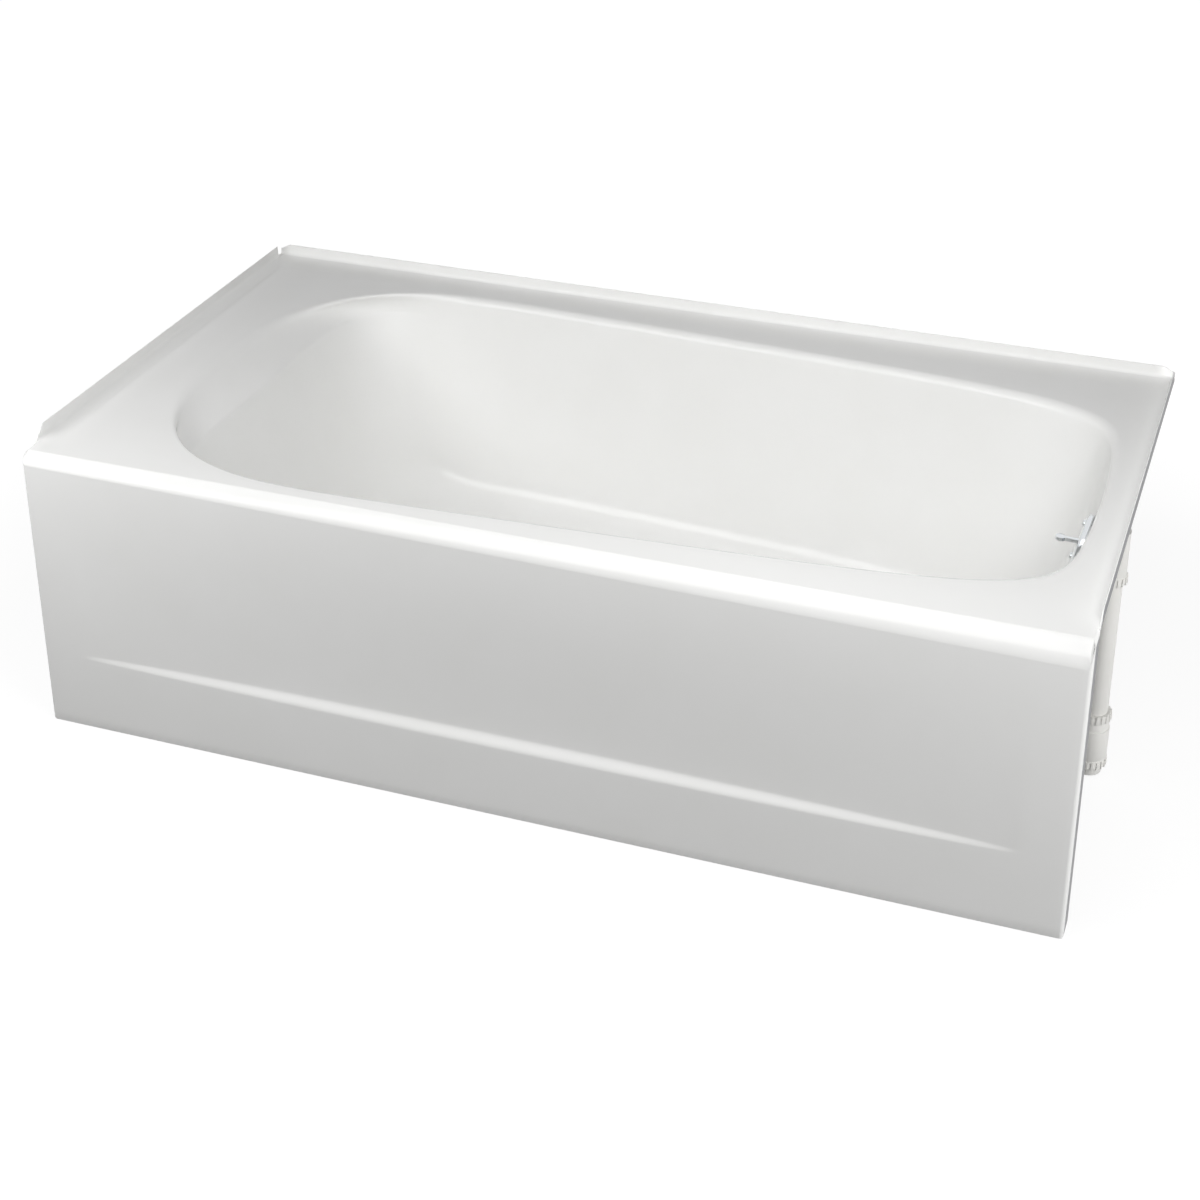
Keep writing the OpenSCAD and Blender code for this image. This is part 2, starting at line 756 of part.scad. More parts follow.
module drain_strainer() {
    color("gainsboro")
    translate([drain_x, well_y, 0]) {
        difference() {
            union() {
                translate([0, 0, recess_z]) cylinder(h = strainer_t, d = strainer_d);
                translate([0, 0, recess_z - collar_h])
                    cylinder(h = collar_h + past, d = drain_hole_d - past);
                translate([0, 0, neck_low]) cylinder(h = recess_z - neck_low, d = neck_d);
            }
            translate([0, 0, neck_low - past])
                cylinder(h = strainer_top - neck_low + 2 * past, d = neck_bore);
            translate([0, 0, strainer_top - seat_h])
                cylinder(h = 2 * seat_h, d1 = neck_bore, d2 = 2 * seat_d - neck_bore);
        }
        difference() {
            union() {
                translate([0, 0, hub_z]) cylinder(h = hub_h, d = hub_d);
                for (a = [0, 60, 120]) rotate([0, 0, a])
                    translate([-(neck_d - neck_t) / 2, -bar_w / 2, hub_z])
                        cube([neck_d - neck_t, bar_w, hub_h / 2]);
            }
            translate([0, 0, hub_z - past])
                cylinder(h = hub_h + 2 * past, d = stem_d + 2 * run_gap);
        }
    }
}

// The gasket hangs under the boss, and the waste shoe under the gasket
gasket_t = 4;
shoe_top = boss_z - gasket_t;
shoe_rim_t = 4;
shoe_wall = 4;
shoe_low = waste_z - tube_r - shoe_wall / 2;
socket_gap = 0.1;

module drain_gasket() {
    color("black")
    translate([drain_x, well_y, shoe_top]) difference() {
        cylinder(h = gasket_t, d = strainer_d);
        translate([0, 0, -past]) cylinder(h = gasket_t + 2 * past, d = neck_d + 4 * socket_gap);
    }
}

// Sockets of the slip joints
socket_l = 16;
socket_d = tube_d + 7;
tee_branch = 42;
tee_rise = 46;
tee_fall = 30;
tee_top = waste_z + tee_rise;
tee_low = waste_z - tee_fall;

// The shoe is a cup screwed to the neck, with a level tube that runs to the tee
module waste_shoe() {
    tube_end = tube_x - tee_branch + socket_l;
    cup_d = neck_d + 2 * shoe_wall;
    color("ivory")
    translate([0, well_y, 0]) difference() {
        union() {
            translate([drain_x, 0, shoe_top - shoe_rim_t])
                cylinder(h = shoe_rim_t, d = strainer_d);
            translate([drain_x, 0, shoe_low])
                cylinder(h = shoe_top - shoe_low - shoe_rim_t / 2, d = cup_d);
            translate([drain_x, 0, waste_z]) rotate([0, 90, 0])
                cylinder(h = tube_end - drain_x, r = tube_r);
        }
        translate([drain_x, 0, shoe_low + shoe_wall])
            cylinder(h = shoe_top - shoe_low, d = neck_d + 2 * socket_gap);
        translate([drain_x, 0, waste_z]) rotate([0, 90, 0])
            cylinder(h = tube_end - drain_x + past, r = bore_r);
    }
}

// The tee has a branch for the shoe's tube and sockets above and below
module waste_tee() {
    socket_r = tube_r + socket_gap;
    body_d = socket_d + 3;
    color("ivory")
    translate([tube_x, well_y, 0]) difference() {
        union() {
            translate([0, 0, tee_low]) cylinder(h = tee_top - tee_low, d = socket_d);
            translate([0, 0, waste_z - body_d / 2 + 2]) cylinder(h = body_d, d = body_d);
            translate([0, 0, waste_z]) rotate([0, -90, 0]) cylinder(h = tee_branch, d = socket_d);
        }
        translate([0, 0, tee_low - past])
            cylinder(h = tee_top - tee_low + 2 * past, r = bore_r);
        translate([0, 0, tee_low - past]) cylinder(h = socket_l / 2 + past, r = socket_r);
        translate([0, 0, tee_top - socket_l]) cylinder(h = socket_l + past, r = socket_r);
        translate([0, 0, waste_z]) rotate([0, -90, 0])
            cylinder(h = tee_branch + past, r = bore_r - free_gap);
        translate([-tee_branch - past, 0, waste_z]) rotate([0, 90, 0])
            cylinder(h = socket_l + past, r = socket_r);
    }
}

// A plain tube along +Z between two heights
module tube(low, high) {
    translate([tube_x, well_y, low]) difference() {
        cylinder(h = high - low, r = tube_r);
        translate([0, 0, -past]) cylinder(h = high - low + 2 * past, r = bore_r);
    }
}

outlet_z = 4;

// The tailpiece's free end is drawn in a little, so that a trap slips over it
outlet_l = 12;
outlet_taper = 3;
outlet_draw = 0.4;
outlet_r = tube_r - outlet_draw;

module tailpiece() {
    color("ivory")
    translate([tube_x, well_y, outlet_z]) difference() {
        union() {
            cylinder(h = outlet_l, r = outlet_r);
            translate([0, 0, outlet_l]) cylinder(h = outlet_taper, r1 = outlet_r, r2 = tube_r);
            translate([0, 0, outlet_l + outlet_taper])
                cylinder(h = tee_low + socket_l / 2 - outlet_z - outlet_l - outlet_taper, r = tube_r);
        }
        translate([0, 0, -past]) cylinder(h = tee_low + socket_l, r = bore_r - outlet_draw);
    }
}

// The head of the overflow is an upright socket with a mouth that faces the wall
elbow_fall = 46;
elbow_rise = 27;
elbow_low = overflow_z - elbow_fall;
elbow_top = overflow_z + elbow_rise;
elbow_wall = 3;
elbow_flange_z = wall_t + foam_t;
elbow_flange_t = 3;
elbow_flange_d = plate_d - 8;
mouth_r = 21;

module overflow_tube() {
    color("ivory") tube(tee_top - socket_l, elbow_low + socket_l);
}

module overflow_elbow() {
    reach = (tube_x - overflow_x) / cos(end_draft);
    color("ivory")
    difference() {
        union() {
            translate([tube_x, well_y, elbow_low])
                cylinder(h = elbow_top - elbow_low, d = socket_d);
            at_overflow() translate([0, 0, elbow_flange_z]) {
                cylinder(h = elbow_flange_t, d = elbow_flange_d);
                cylinder(h = reach - elbow_flange_z, r = mouth_r + elbow_wall);
            }
        }
        translate([tube_x, well_y, elbow_low - past])
            cylinder(h = elbow_top - elbow_low - elbow_wall + past, r = bore_r);
        translate([tube_x, well_y, elbow_low - past])
            cylinder(h = socket_l + past, r = tube_r + socket_gap);
        at_overflow() {
            cylinder(h = elbow_flange_z, d = 2 * elbow_flange_d);
            translate([0, 0, elbow_flange_z - past])
                cylinder(h = reach - elbow_flange_z, r = mouth_r);
            for (side = [-1, 1]) translate([side * screw_gap / 2, 0, elbow_flange_z - past])
                cylinder(h = elbow_flange_t + past, d = screw_d);
        }
    }
}

module overflow_gasket() {
    color("black")
    at_overflow() translate([0, 0, wall_t]) difference() {
        cylinder(h = foam_t, d = elbow_flange_d);
        translate([0, 0, -past]) cylinder(h = foam_t + 2 * past, d = overflow_hole_d);
    }
}

// Each slip joint faces along +Z into its socket
module at_slip_joints() {
    translate([tube_x, well_y, tee_low]) children();
    translate([tube_x, well_y, tee_top]) rotate([180, 0, 0]) children();
    translate([tube_x - tee_branch, well_y, waste_z]) rotate([0, 90, 0]) children();
    translate([tube_x, well_y, elbow_low]) children();
}

// A slip nut draws a washer against the end of the socket
washer_t = 4;
nut_lip = 3;
nut_l = washer_t + nut_lip + 7;
nut_d = socket_d + 5;

module slip_nut() {
    translate([0, 0, -washer_t - nut_lip]) difference() {
        cylinder(h = nut_l, d = nut_d);
        translate([0, 0, -past]) cylinder(h = nut_l + 2 * past, r = tube_r + 3 * socket_gap);
        translate([0, 0, nut_lip]) cylinder(h = nut_l, d = socket_d + 2 * socket_gap);
    }
}

module slip_nuts() {
    color("ivory") at_slip_joints() slip_nut();
}

module slip_washer() {
    translate([0, 0, -washer_t]) difference() {
        cylinder(h = washer_t, d = socket_d);
        translate([0, 0, -past]) cylinder(h = washer_t + 2 * past, r = tube_r + socket_gap);
    }
}

module slip_washers() {
    color("black") at_slip_joints() slip_washer();
}

// The pivot lies just behind the wall's face, and the arm is level halfway through its turn
pivot_out = 3;
pivot_x = overflow_x + pivot_out * cos(end_draft);
pivot_z = overflow_z - pivot_out * sin(end_draft);
arm_l = tube_x - pivot_x;
half_turn = lever_turn / 2;
stroke = 2 * arm_l * tan(half_turn);
hub_r = pin_d / 2 + 2.6;
lever_w = 7;
bar_h = 5;
arm_t = 4;
slot_play = 1.2;
ear_gap = lever_w + 2.4;
ear_t = 1.6;
plate_t = 1.4;
plate_rest = 0.6;
plate_round = 7;

module at_pivot() {
    translate([pivot_x, well_y, pivot_z]) children();
}

// A round bar along Y about the origin
module bar_y(l, d) {
    rotate([90, 0, 0]) cylinder(h = l, d = d, center = true);
}

// A bar along X with round ends, thin along Y
module link_y(l, w, t) {
    for (side = [-1, 1]) translate([side * l / 2, 0, 0]) bar_y(t, w);
    cube([l, t, w], center = true);
}

// The dished plate has a slot for the handle and two ears for the pivot pin
module faceplate() {
    r = plate_d / 2;
    crown = -plate_h;
    slot_h = 2 * (plate_h + pivot_out) * tan(half_turn) + 2 * bar_h;
    ear_low = crown + plate_t / 2;
    color("gainsboro")
    at_overflow() {
        difference() {
            rotate_extrude() polygon([
                [0, crown], [r - plate_round, crown],
                [r - 0.4 * plate_round, crown + 0.15 * plate_round],
                [r - 0.1 * plate_round, crown + 0.45 * plate_round],
                [r, crown + 0.8 * plate_round], [r, -plate_rest],
                [r - plate_t, -plate_rest], [r - plate_t, crown + 0.8 * plate_round],
                [r - 0.4 * plate_round, crown + 0.15 * plate_round + plate_t],
                [r - plate_round, crown + plate_t], [0, crown + plate_t]]);
            translate([0, 0, crown]) cube([slot_h, lever_w + 2 * free_gap, 3 * plate_t],
                center = true);
            for (side = [-1, 1]) translate([side * screw_gap / 2, 0, crown - past])
                cylinder(h = plate_t + 2 * past, d = screw_d + free_gap);
        }
        for (side = [-1, 1]) translate([0, side * (ear_gap + ear_t) / 2, 0]) difference() {
            translate([-hub_r, -ear_t / 2, ear_low])
                cube([2 * hub_r, ear_t, pivot_out + hub_r - ear_low]);
            translate([0, 0, pivot_out]) bar_y(ear_t + 2 * past, pin_d);
        }
    }
}

// Two screws through the plate into the elbow's flange
module faceplate_screws() {
    color("gainsboro")
    at_overflow() for (side = [-1, 1]) translate([side * screw_gap / 2, 0, -plate_h])
        pan_screw(screw_d, plate_h + elbow_flange_z + elbow_flange_t);
}

module lever_pin() {
    color("silver") at_pivot() bar_y(ear_gap + 2 * ear_t + 2, pin_d);
}

// A wave washer that holds the lever where it is put
module lever_washer() {
    t = (ear_gap - lever_w) / 2 - push_gap / 2;
    color("goldenrod")
    at_pivot() translate([0, (ear_gap - t) / 2, 0]) difference() {
        bar_y(t, 2 * hub_r - past);
        bar_y(t + 2 * past, pin_d);
    }
}

// The lever halfway through its turn: a hub, an arm with a slotted eye, and a handle
module lever_level() {
    slot_d = pin_d + free_gap;
    difference() {
        union() {
            bar_y(lever_w, 2 * hub_r);
            translate([0, -arm_t / 2, -bar_h / 2]) cube([arm_l, arm_t, bar_h]);
            translate([arm_l, 0, 0]) bar_y(arm_t, slot_d + bar_h);
            rotate([0, end_draft, 0]) {
                translate([-handle_l, -lever_w / 2 + free_gap, -bar_h / 2])
                    cube([handle_l, lever_w - 2 * free_gap, bar_h]);
                translate([-handle_l, 0, 0]) cylinder(h = bar_h, r = lever_w, center = true);
            }
        }
        bar_y(lever_w + 2 * past, pin_d + 2 * run_gap);
        translate([arm_l, 0, 0]) link_y(2 * slot_play, slot_d, arm_t + 2 * past);
    }
}

module trip_lever() {
    color("gainsboro") at_pivot() rotate([0, -half_turn, 0]) lever_level();
}

// The linkage hangs in the upright tube, and its pin is now at the top of its stroke
link_z = pivot_z + stroke / 2;
yoke_w = 11;
cheek_t = 2;
cheek_gap = arm_t + 2 * free_gap;
yoke_drop = 16;
block_h = 12;
block_w = cheek_gap + 2 * cheek_t;

module at_link() {
    translate([tube_x, well_y, link_z]) children();
}

module yoke() {
    color("goldenrod")
    at_link() difference() {
        union() {
            for (side = [-1, 1]) translate([0, side * (cheek_gap + cheek_t) / 2, 0]) {
                bar_y(cheek_t, yoke_w);
                translate([-yoke_w / 2, -cheek_t / 2, -yoke_drop])
                    cube([yoke_w, cheek_t, yoke_drop]);
            }
            translate([-yoke_w / 2, -block_w / 2, -yoke_drop - block_h])
                cube([yoke_w, block_w, block_h]);
        }
        bar_y(block_w + 2 * past, pin_d);
        translate([0, 0, -yoke_drop - block_h - past]) cylinder(h = block_h + 2 * past, d = rod_d);
    }
}

module yoke_pin() {
    color("silver") at_link() bar_y(block_w + 2, pin_d);
}

// The rocker's heel rests in the bottom of the level tube
heel_l = 16;
heel_d = rocker_d + 1;
heel_rise = bore_r - sqrt(bore_r * bore_r - heel_l * heel_l / 4);
heel_x = drain_x + rocker_near;
heel_z = waste_z - bore_r + heel_rise + heel_d / 2 + push_gap;
rocker_far = tube_x - heel_x;
rocker_half = atan(stroke / 2 / rocker_far);
far_rise = waste_z - heel_z;
near_rise = far_rise + 2;
stem_pin_d = 3;
stem_pin_z = heel_z - rocker_near * tan(rocker_half) + near_rise / cos(rocker_half);

// The striker's tip stands just over the rocker's wire
wire_z = heel_z + stroke / 2 + far_rise / cos(rocker_half);
spring_low = wire_z + (spring_d / 2 + rocker_d / 2 + push_gap) / cos(rocker_half);
spring_wire = 2.2;
spring_bore = spring_d - 2 * spring_wire;
plug_h = 5;
grip = 8;

// A round rod from the yoke's block down into the striker
module linkage_rod() {
    low = spring_low + plug_h + past;
    color("goldenrod")
    translate([tube_x, well_y, low]) cylinder(h = link_z - yoke_drop - 2 - low, d = rod_d);
}

module rod_locknut() {
    h = 0.8 * rod_d;
    color("silver")
    translate([tube_x, well_y, link_z - yoke_drop - block_h - h]) difference() {
        cylinder(h = h, d = 2 * rod_d, $fn = 6);
        translate([0, 0, -past]) cylinder(h = h + 2 * past, d = rod_d);
    }
}

// The striker's close-coiled spring, held on the rod by its top turns
module striker_spring() {
    color("goldenrod")
    translate([tube_x, well_y, spring_low]) difference() {
        cylinder(h = spring_l, d = spring_d);
        translate([0, 0, -past]) cylinder(h = spring_l - grip + past, d = spring_bore);
        translate([0, 0, -past]) cylinder(h = spring_l + 2 * past, d = rod_d);
    }
}

// A domed plug closes the spring's lower end
module striker_tip() {
    color("goldenrod")
    translate([tube_x, well_y, spring_low]) {
        difference() {
            sphere(d = spring_d);
            cylinder(h = spring_d, d = 2 * spring_d);
        }
        translate([0, 0, -past]) cylinder(h = plug_h + past, d = spring_bore);
    }
}

// A straight piece of wire from one point of the X-Z plane to another
module wire(a, b) {
    v = b - a;
    translate([a[0], 0, a[1]]) rotate([0, 90 - atan2(v[1], v[0]), 0])
        cylinder(h = norm(v), d = rocker_d);
}

// The rocker halfway through its turn, about its heel
eye_w = 3;
eye_play = 1.3;
eye_bar = 16;
bend_x = rocker_far - 24;

module rocker_level() {
    slot_d = stem_pin_d + free_gap;
    tongue_h = 1.4 * rocker_d;
    difference() {
        union() {
            bar_y(heel_l, heel_d);
            wire([0, 0], [-rocker_near + 0.6 * eye_bar, near_rise - 0.6 * eye_w]);
            wire([0, 0], [bend_x, far_rise]);
            translate([bend_x, 0, far_rise]) bar_y(rocker_d + past, heel_d);
            wire([bend_x, far_rise], [rocker_far + rocker_d, far_rise]);
            translate([-rocker_near, 0, near_rise]) {
                link_y(2 * eye_play, slot_d + rocker_d, eye_w);
                translate([0, -eye_w / 2, -rocker_d]) cube([eye_bar, eye_w, tongue_h]);
            }
        }
        translate([-rocker_near, 0, near_rise]) link_y(2 * eye_play, slot_d, heel_l);
    }
}

module rocker_arm() {
    color("goldenrod")
    translate([heel_x, well_y, heel_z]) rotate([0, -rocker_half, 0]) rocker_level();
}

// The stopper is drawn closed, with its seal down on the drain's seat
cap_t = 3;
cap_round = 1.2;
core_d = cap_d / 2;
fork_gap = eye_w + 2 * free_gap;
fork_t = 2;
fork_w = 8;
fork_w_y = fork_gap + 2 * fork_t;
fork_top = stem_pin_z + fork_w;

module stopper_cap() {
    color("gainsboro")
    translate([drain_x, well_y, cap_z]) difference() {
        union() {
            cylinder(h = cap_t, d = cap_d);
            translate([0, 0, cap_t]) cylinder(h = cap_round, d1 = cap_d, d2 = 0.85 * cap_d);
            translate([0, 0, -seal_t]) cylinder(h = seal_t + cap_t / 2, d = core_d);
        }
        translate([0, 0, -seal_t - past]) cylinder(h = seal_t + past, d = stem_d);
    }
}

module stopper_seal() {
    low_d = seat_at(cap_z - seal_t) - 2 * push_gap;
    color("black")
    translate([drain_x, well_y, cap_z - seal_t]) difference() {
        cylinder(h = seal_t, d1 = low_d, d2 = min(cap_d, seat_at(cap_z) - 2 * push_gap));
        translate([0, 0, -past]) cylinder(h = seal_t + 2 * past, d = core_d);
    }
}

module stopper_stem() {
    color("goldenrod")
    translate([drain_x, well_y, 0]) difference() {
        union() {
            translate([0, 0, fork_top]) cylinder(h = cap_z - fork_top, d = stem_d);
            for (side = [-1, 1]) translate([0, side * (fork_gap + fork_t) / 2, stem_pin_z]) {
                bar_y(fork_t, fork_w);
                translate([-fork_w / 2, -fork_t / 2, 0])
                    cube([fork_w, fork_t, fork_top - stem_pin_z]);
            }
            translate([-fork_w / 2, -fork_w_y / 2, fork_top - fork_t])
                cube([fork_w, fork_w_y, fork_t + past / 2]);
        }
        translate([0, 0, stem_pin_z]) bar_y(fork_w_y + 2 * past, stem_pin_d);
    }
}

module stem_nut() {
    h = 0.5 * stem_d;
    color("silver")
    translate([drain_x, well_y, cap_z - seal_t - h]) difference() {
        cylinder(h = h, d = 2 * stem_d, $fn = 6);
        translate([0, 0, -past]) cylinder(h = h + 2 * past, d = stem_d);
    }
}

module stem_pin() {
    color("silver")
    translate([drain_x, well_y, stem_pin_z]) bar_y(fork_w_y + 2, stem_pin_d);
}

bath_deck();
bath_well();
tiling_flange_head();
tiling_flange_drain();
tiling_flange_back();
apron();
composite_backing();
apron_stiffener();
apron_brace_head();
apron_brace_drain();
brace_screws();
floor_support_head();
floor_support_drain();
foot_pad_head_front();
foot_pad_head_back();
foot_pad_drain_front();
foot_pad_drain_back();
drain_strainer();
drain_gasket();
waste_shoe();
waste_tee();
tailpiece();
overflow_tube();
overflow_elbow();
overflow_gasket();
slip_nuts();
slip_washers();
faceplate();
faceplate_screws();
lever_pin();
lever_washer();
trip_lever();
yoke();
yoke_pin();
linkage_rod();
rod_locknut();
striker_spring();
striker_tip();
rocker_arm();
stopper_cap();
stopper_seal();
stopper_stem();
stem_nut();
stem_pin();
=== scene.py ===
import math

import bmesh
import bpy
import numpy as np
from mathutils import Matrix, Vector


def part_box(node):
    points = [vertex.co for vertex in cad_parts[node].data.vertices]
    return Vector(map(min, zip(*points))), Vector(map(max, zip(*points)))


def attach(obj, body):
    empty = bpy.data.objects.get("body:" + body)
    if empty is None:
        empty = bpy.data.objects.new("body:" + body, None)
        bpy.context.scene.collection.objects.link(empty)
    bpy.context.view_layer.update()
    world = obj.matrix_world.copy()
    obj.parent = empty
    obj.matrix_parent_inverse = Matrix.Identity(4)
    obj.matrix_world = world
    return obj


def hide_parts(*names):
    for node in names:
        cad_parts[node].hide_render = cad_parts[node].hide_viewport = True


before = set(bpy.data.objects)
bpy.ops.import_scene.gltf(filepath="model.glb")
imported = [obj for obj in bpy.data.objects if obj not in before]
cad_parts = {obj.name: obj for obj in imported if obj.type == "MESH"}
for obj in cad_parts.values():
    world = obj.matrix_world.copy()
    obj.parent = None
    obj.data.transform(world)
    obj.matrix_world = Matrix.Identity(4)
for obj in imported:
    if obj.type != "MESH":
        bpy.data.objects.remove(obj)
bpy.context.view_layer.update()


# The bath pan: deck, well and the three flanges for the tiles, drawn and folded from one sheet of
# 2 mm steel. It is fired with a ground coat on both sides and a white cover coat on the side that
# shows, so its underside stays dark. The outer faces of its flanges, which stand against a wall, are
# left in the ground coat's dark as painted shade.

bath_l, bath_w, deck_h = 1524, 813, 451
x_head, x_drain = -bath_l / 2, bath_l / 2
y_front, y_back = -bath_w / 2, bath_w / 2
sheet_t = 2
flange_top = 473
flange_start, flange_slant, flange_gap = 38, 21, 17
bevel_w, bevel_h = 17, 9
edge_rise, fillet_r = 4, 6
edge_z = deck_h + edge_rise
roll_w, end_roll = 18, 5
rim_front, rim_back, rim_head, rim_drain = 36.5, 56.5, 98, 37
widest_at, well_taper = 430, 58
floor_h, floor_fall = 92, 6
lip_r, side_draft, end_draft = 14, 8.5, 14
floor_r, drain_floor_r, end_bow = 80, 45, 25
headrest_r, headrest_slope, headrest_drop = 60, 28, 36
back_draft, back_floor_r = 20, 110
fold_soft = 2.5
depth = deck_h - floor_h
half_w = (bath_w - rim_front - rim_back) / 2
well_y = (rim_front - rim_back) / 2
x_wide = x_head + widest_at
drain_x = x_drain - 226
overflow_z, overflow_hole_r = deck_h - 76, 31


def sine(angle):
    return math.sin(math.radians(angle))


def cosine(angle):
    return math.cos(math.radians(angle))


def tangent(angle):
    return math.tan(math.radians(angle))


def wall_in(drop, lip, lean, foot):
    """How far in from the rim a wall with a lip, a lean and a radius at the floor is."""
    lip_end = lip * (1 - sine(lean))
    foot_start = depth - foot * (1 - sine(lean))
    foot_in = lip * cosine(lean) + (foot_start - lip_end) * tangent(lean) + foot * cosine(lean)
    if drop <= lip_end:
        return math.sqrt(max(0, lip**2 - (lip - drop) ** 2))
    if drop <= foot_start:
        return lip * cosine(lean) + (drop - lip_end) * tangent(lean)
    return foot_in - math.sqrt(max(0, foot**2 - (drop - depth + foot) ** 2))


def backrest_in(drop):
    """The same for the head end: soft lip, shallow headrest, fold, backrest."""
    lip_end = headrest_r * (1 - cosine(headrest_slope))
    lip_w = headrest_r * sine(headrest_slope)
    fold_in = lip_w + (headrest_drop - lip_end) / tangent(headrest_slope)
    foot_start = depth - back_floor_r * (1 - sine(back_draft))
    foot_in = fold_in + (foot_start - headrest_drop) * tangent(back_draft)
    foot_in += back_floor_r * cosine(back_draft)
    if drop <= lip_end:
        return math.sqrt(max(0, headrest_r**2 - (headrest_r - drop) ** 2))
    if drop <= headrest_drop:
        return lip_w + (drop - lip_end) / tangent(headrest_slope)
    if drop <= foot_start:
        return fold_in + (drop - headrest_drop) * tangent(back_draft)
    return foot_in - math.sqrt(max(0, back_floor_r**2 - (drop - depth + back_floor_r) ** 2))


def head_in(drop):
    """The backrest with its fold rounded off, as the sheet is drawn over a rounded punch."""
    reach = fold_soft - abs(drop - headrest_drop)
    if reach <= 0:
        return backrest_in(drop)
    return sum(backrest_in(drop + reach * s / 4) for s in range(-4, 5)) / 9


# Exponents of the well's outline: 2 is an ellipse, and more is squarer
rim_square, floor_square = 8, 5
head_square, fold_square, back_square = 2.5, 5, 3.2


def squareness(head, drop):
    """Exponent of the outline at one depth, at the head or at the drain end."""
    if not head:
        return rim_square + (floor_square - rim_square) * drop / depth
    if drop < headrest_drop:
        return head_square + (fold_square - head_square) * drop / headrest_drop
    share = (drop - headrest_drop) / (depth - headrest_drop)
    return fold_square + (back_square - fold_square) * share


def floor_rise(x, y):
    """Height of the floor above the drain."""
    return floor_fall * min(1, math.hypot(x - drain_x, y - well_y) / (drain_x - x_head - rim_head))


def spaced(i, n):
    """Steps from -1 to 1, closer together at both ends."""
    return -0.6 * math.cos(math.pi * i / n) + 0.4 * (2 * i / n - 1)


wide_share = 2 * widest_at / bath_l - 1


def along(m):
    """The same place measured from the widest one."""
    return (m - wide_share) / (1 + wide_share if m < wide_share else 1 - wide_share)


long_steps, short_steps = 96, 52
stations = (
    [(along(spaced(i, long_steps)), -1) for i in range(long_steps)]
    + [(1, spaced(i, short_steps)) for i in range(short_steps)]
    + [(along(-spaced(i, long_steps)), 1) for i in range(long_steps)]
    + [(-1, -spaced(i, short_steps)) for i in range(short_steps)]
)


def well_point(f, drop):
    """Where the well's wall is in one direction and at one depth."""
    n = squareness(f[0] < 0, drop)
    q = (abs(f[0]) ** n + abs(f[1]) ** n) ** (-1 / n)
    u, v = f[0] * q, f[1] * q
    taper = 0 if u <= 0 else 1.1 * u * u / (u + 0.1)
    if u < 0:
        x = x_wide + u * (widest_at - rim_head - head_in(drop))
    else:
        reach = bath_l - widest_at - rim_drain - wall_in(drop, lip_r, end_draft, drain_floor_r)
        x = x_wide + u * reach - end_bow * (1 - drop / depth / 2) * v * v * u**4
    y = well_y + v * (half_w - wall_in(drop, lip_r, side_draft, floor_r) - well_taper * taper)
    return x, y, deck_h - drop * (depth - floor_rise(x, y)) / depth


def deck_rise(y):
    """How far the deck's edge stands up along the flanges, from nothing at the front."""
    return edge_rise * min(1, max(0, (y - y_front - roll_w) / (flange_start + flange_slant - roll_w)))


def edge_point(f, ends, front, back):
    x = x_wide + (f[0] * (x_wide - x_head - ends) if f[0] < 0 else f[0] * (x_drain - ends - x_wide))
    low, high = y_front + front, y_back - back
    return np.array([x, (low + high) / 2 + f[1] * (high - low) / 2, deck_h])


hollow_end, hollow_front, hollow_back = 24, roll_w + 3, 50


def deck_point(f, t):
    """From the deck's edge at 0 along its hollow slope to the flat at 1."""
    outer = edge_point(f, end_roll, roll_w, end_roll)
    inner = edge_point(f, hollow_end, hollow_front, hollow_back)
    p = outer + (inner - outer) * t
    p[2] += deck_rise(outer[1]) * (1 - t) ** 2
    return p


lip_drops = [lip_r * (1 - cosine(a)) for a in np.linspace(0, 90 - side_draft, 13)]
fold_drops = [14.5, 18, 22, 26, 29, 31, 32.5, 34, 35.2, 36.4, 37.6, 39, 41, 43, 46, 50]
wall_drops = [57, 68, 84, 104, 126, 150, 176, 202, 228, 252, 272, 286]
foot_drops = [depth - floor_r * (1 - sine(a)) for a in np.linspace(12, 90, 17)]
deck_rings = [[deck_point(f, t) for f in stations] for t in (0, 0.12, 0.25, 0.4, 0.55, 0.7, 0.85, 1)]
drops = lip_drops + fold_drops + wall_drops + foot_drops
well_rings = [[well_point(f, d) for f in stations] for d in drops]
flat, rim = np.array(deck_rings[-1]), np.array(well_rings[0])
deck_rings += [flat + (rim - flat) * t for t in (1 / 3, 2 / 3)]

recess_r, drain_hole_r = 37, 26


def towards_drain(p, t, radius):
    away = np.array([p[0] - drain_x, p[1] - well_y])
    r = np.linalg.norm(away)
    x, y = np.array([drain_x, well_y]) + away / r * (r + (radius - r) * t)
    return x, y, floor_h + floor_rise(x, y)


floor_rings = [
    [towards_drain(p, t, recess_r + 2.5) for p in well_rings[-1]]
    for t in (0.03, 0.08, 0.16, 0.28, 0.42, 0.58, 0.74, 0.88, 1)
]


def round_ring(radius, z):
    ring = []
    for p in well_rings[-1]:
        turn = math.atan2(p[1] - well_y, p[0] - drain_x)
        ring.append((drain_x + radius * math.cos(turn), well_y + radius * math.sin(turn), z))
    return ring


# The recess for the drain flange: radius and height of its rings, above and below the sheet
recess_top = [(38.2, 91.8), (37.4, 91.2), (recess_r, 90), (recess_r, 89), (drain_hole_r, 89)]
recess_low = [(40.2, 89.8), (39.4, 89.2), (39, 88), (39, 87), (drain_hole_r, 87)]


def ring_normals(rings, level):
    """Normals of a stack of rings, upright on its first levels."""
    around = np.roll(rings, -1, axis=1) - np.roll(rings, 1, axis=1)
    down = np.concatenate([rings[1:], rings[-1:]]) - np.concatenate([rings[:1], rings[:-1]])
    normals = np.cross(around, down)
    normals /= np.linalg.norm(normals, axis=2, keepdims=True)
    normals[:level] = (0, 0, 1)
    return normals


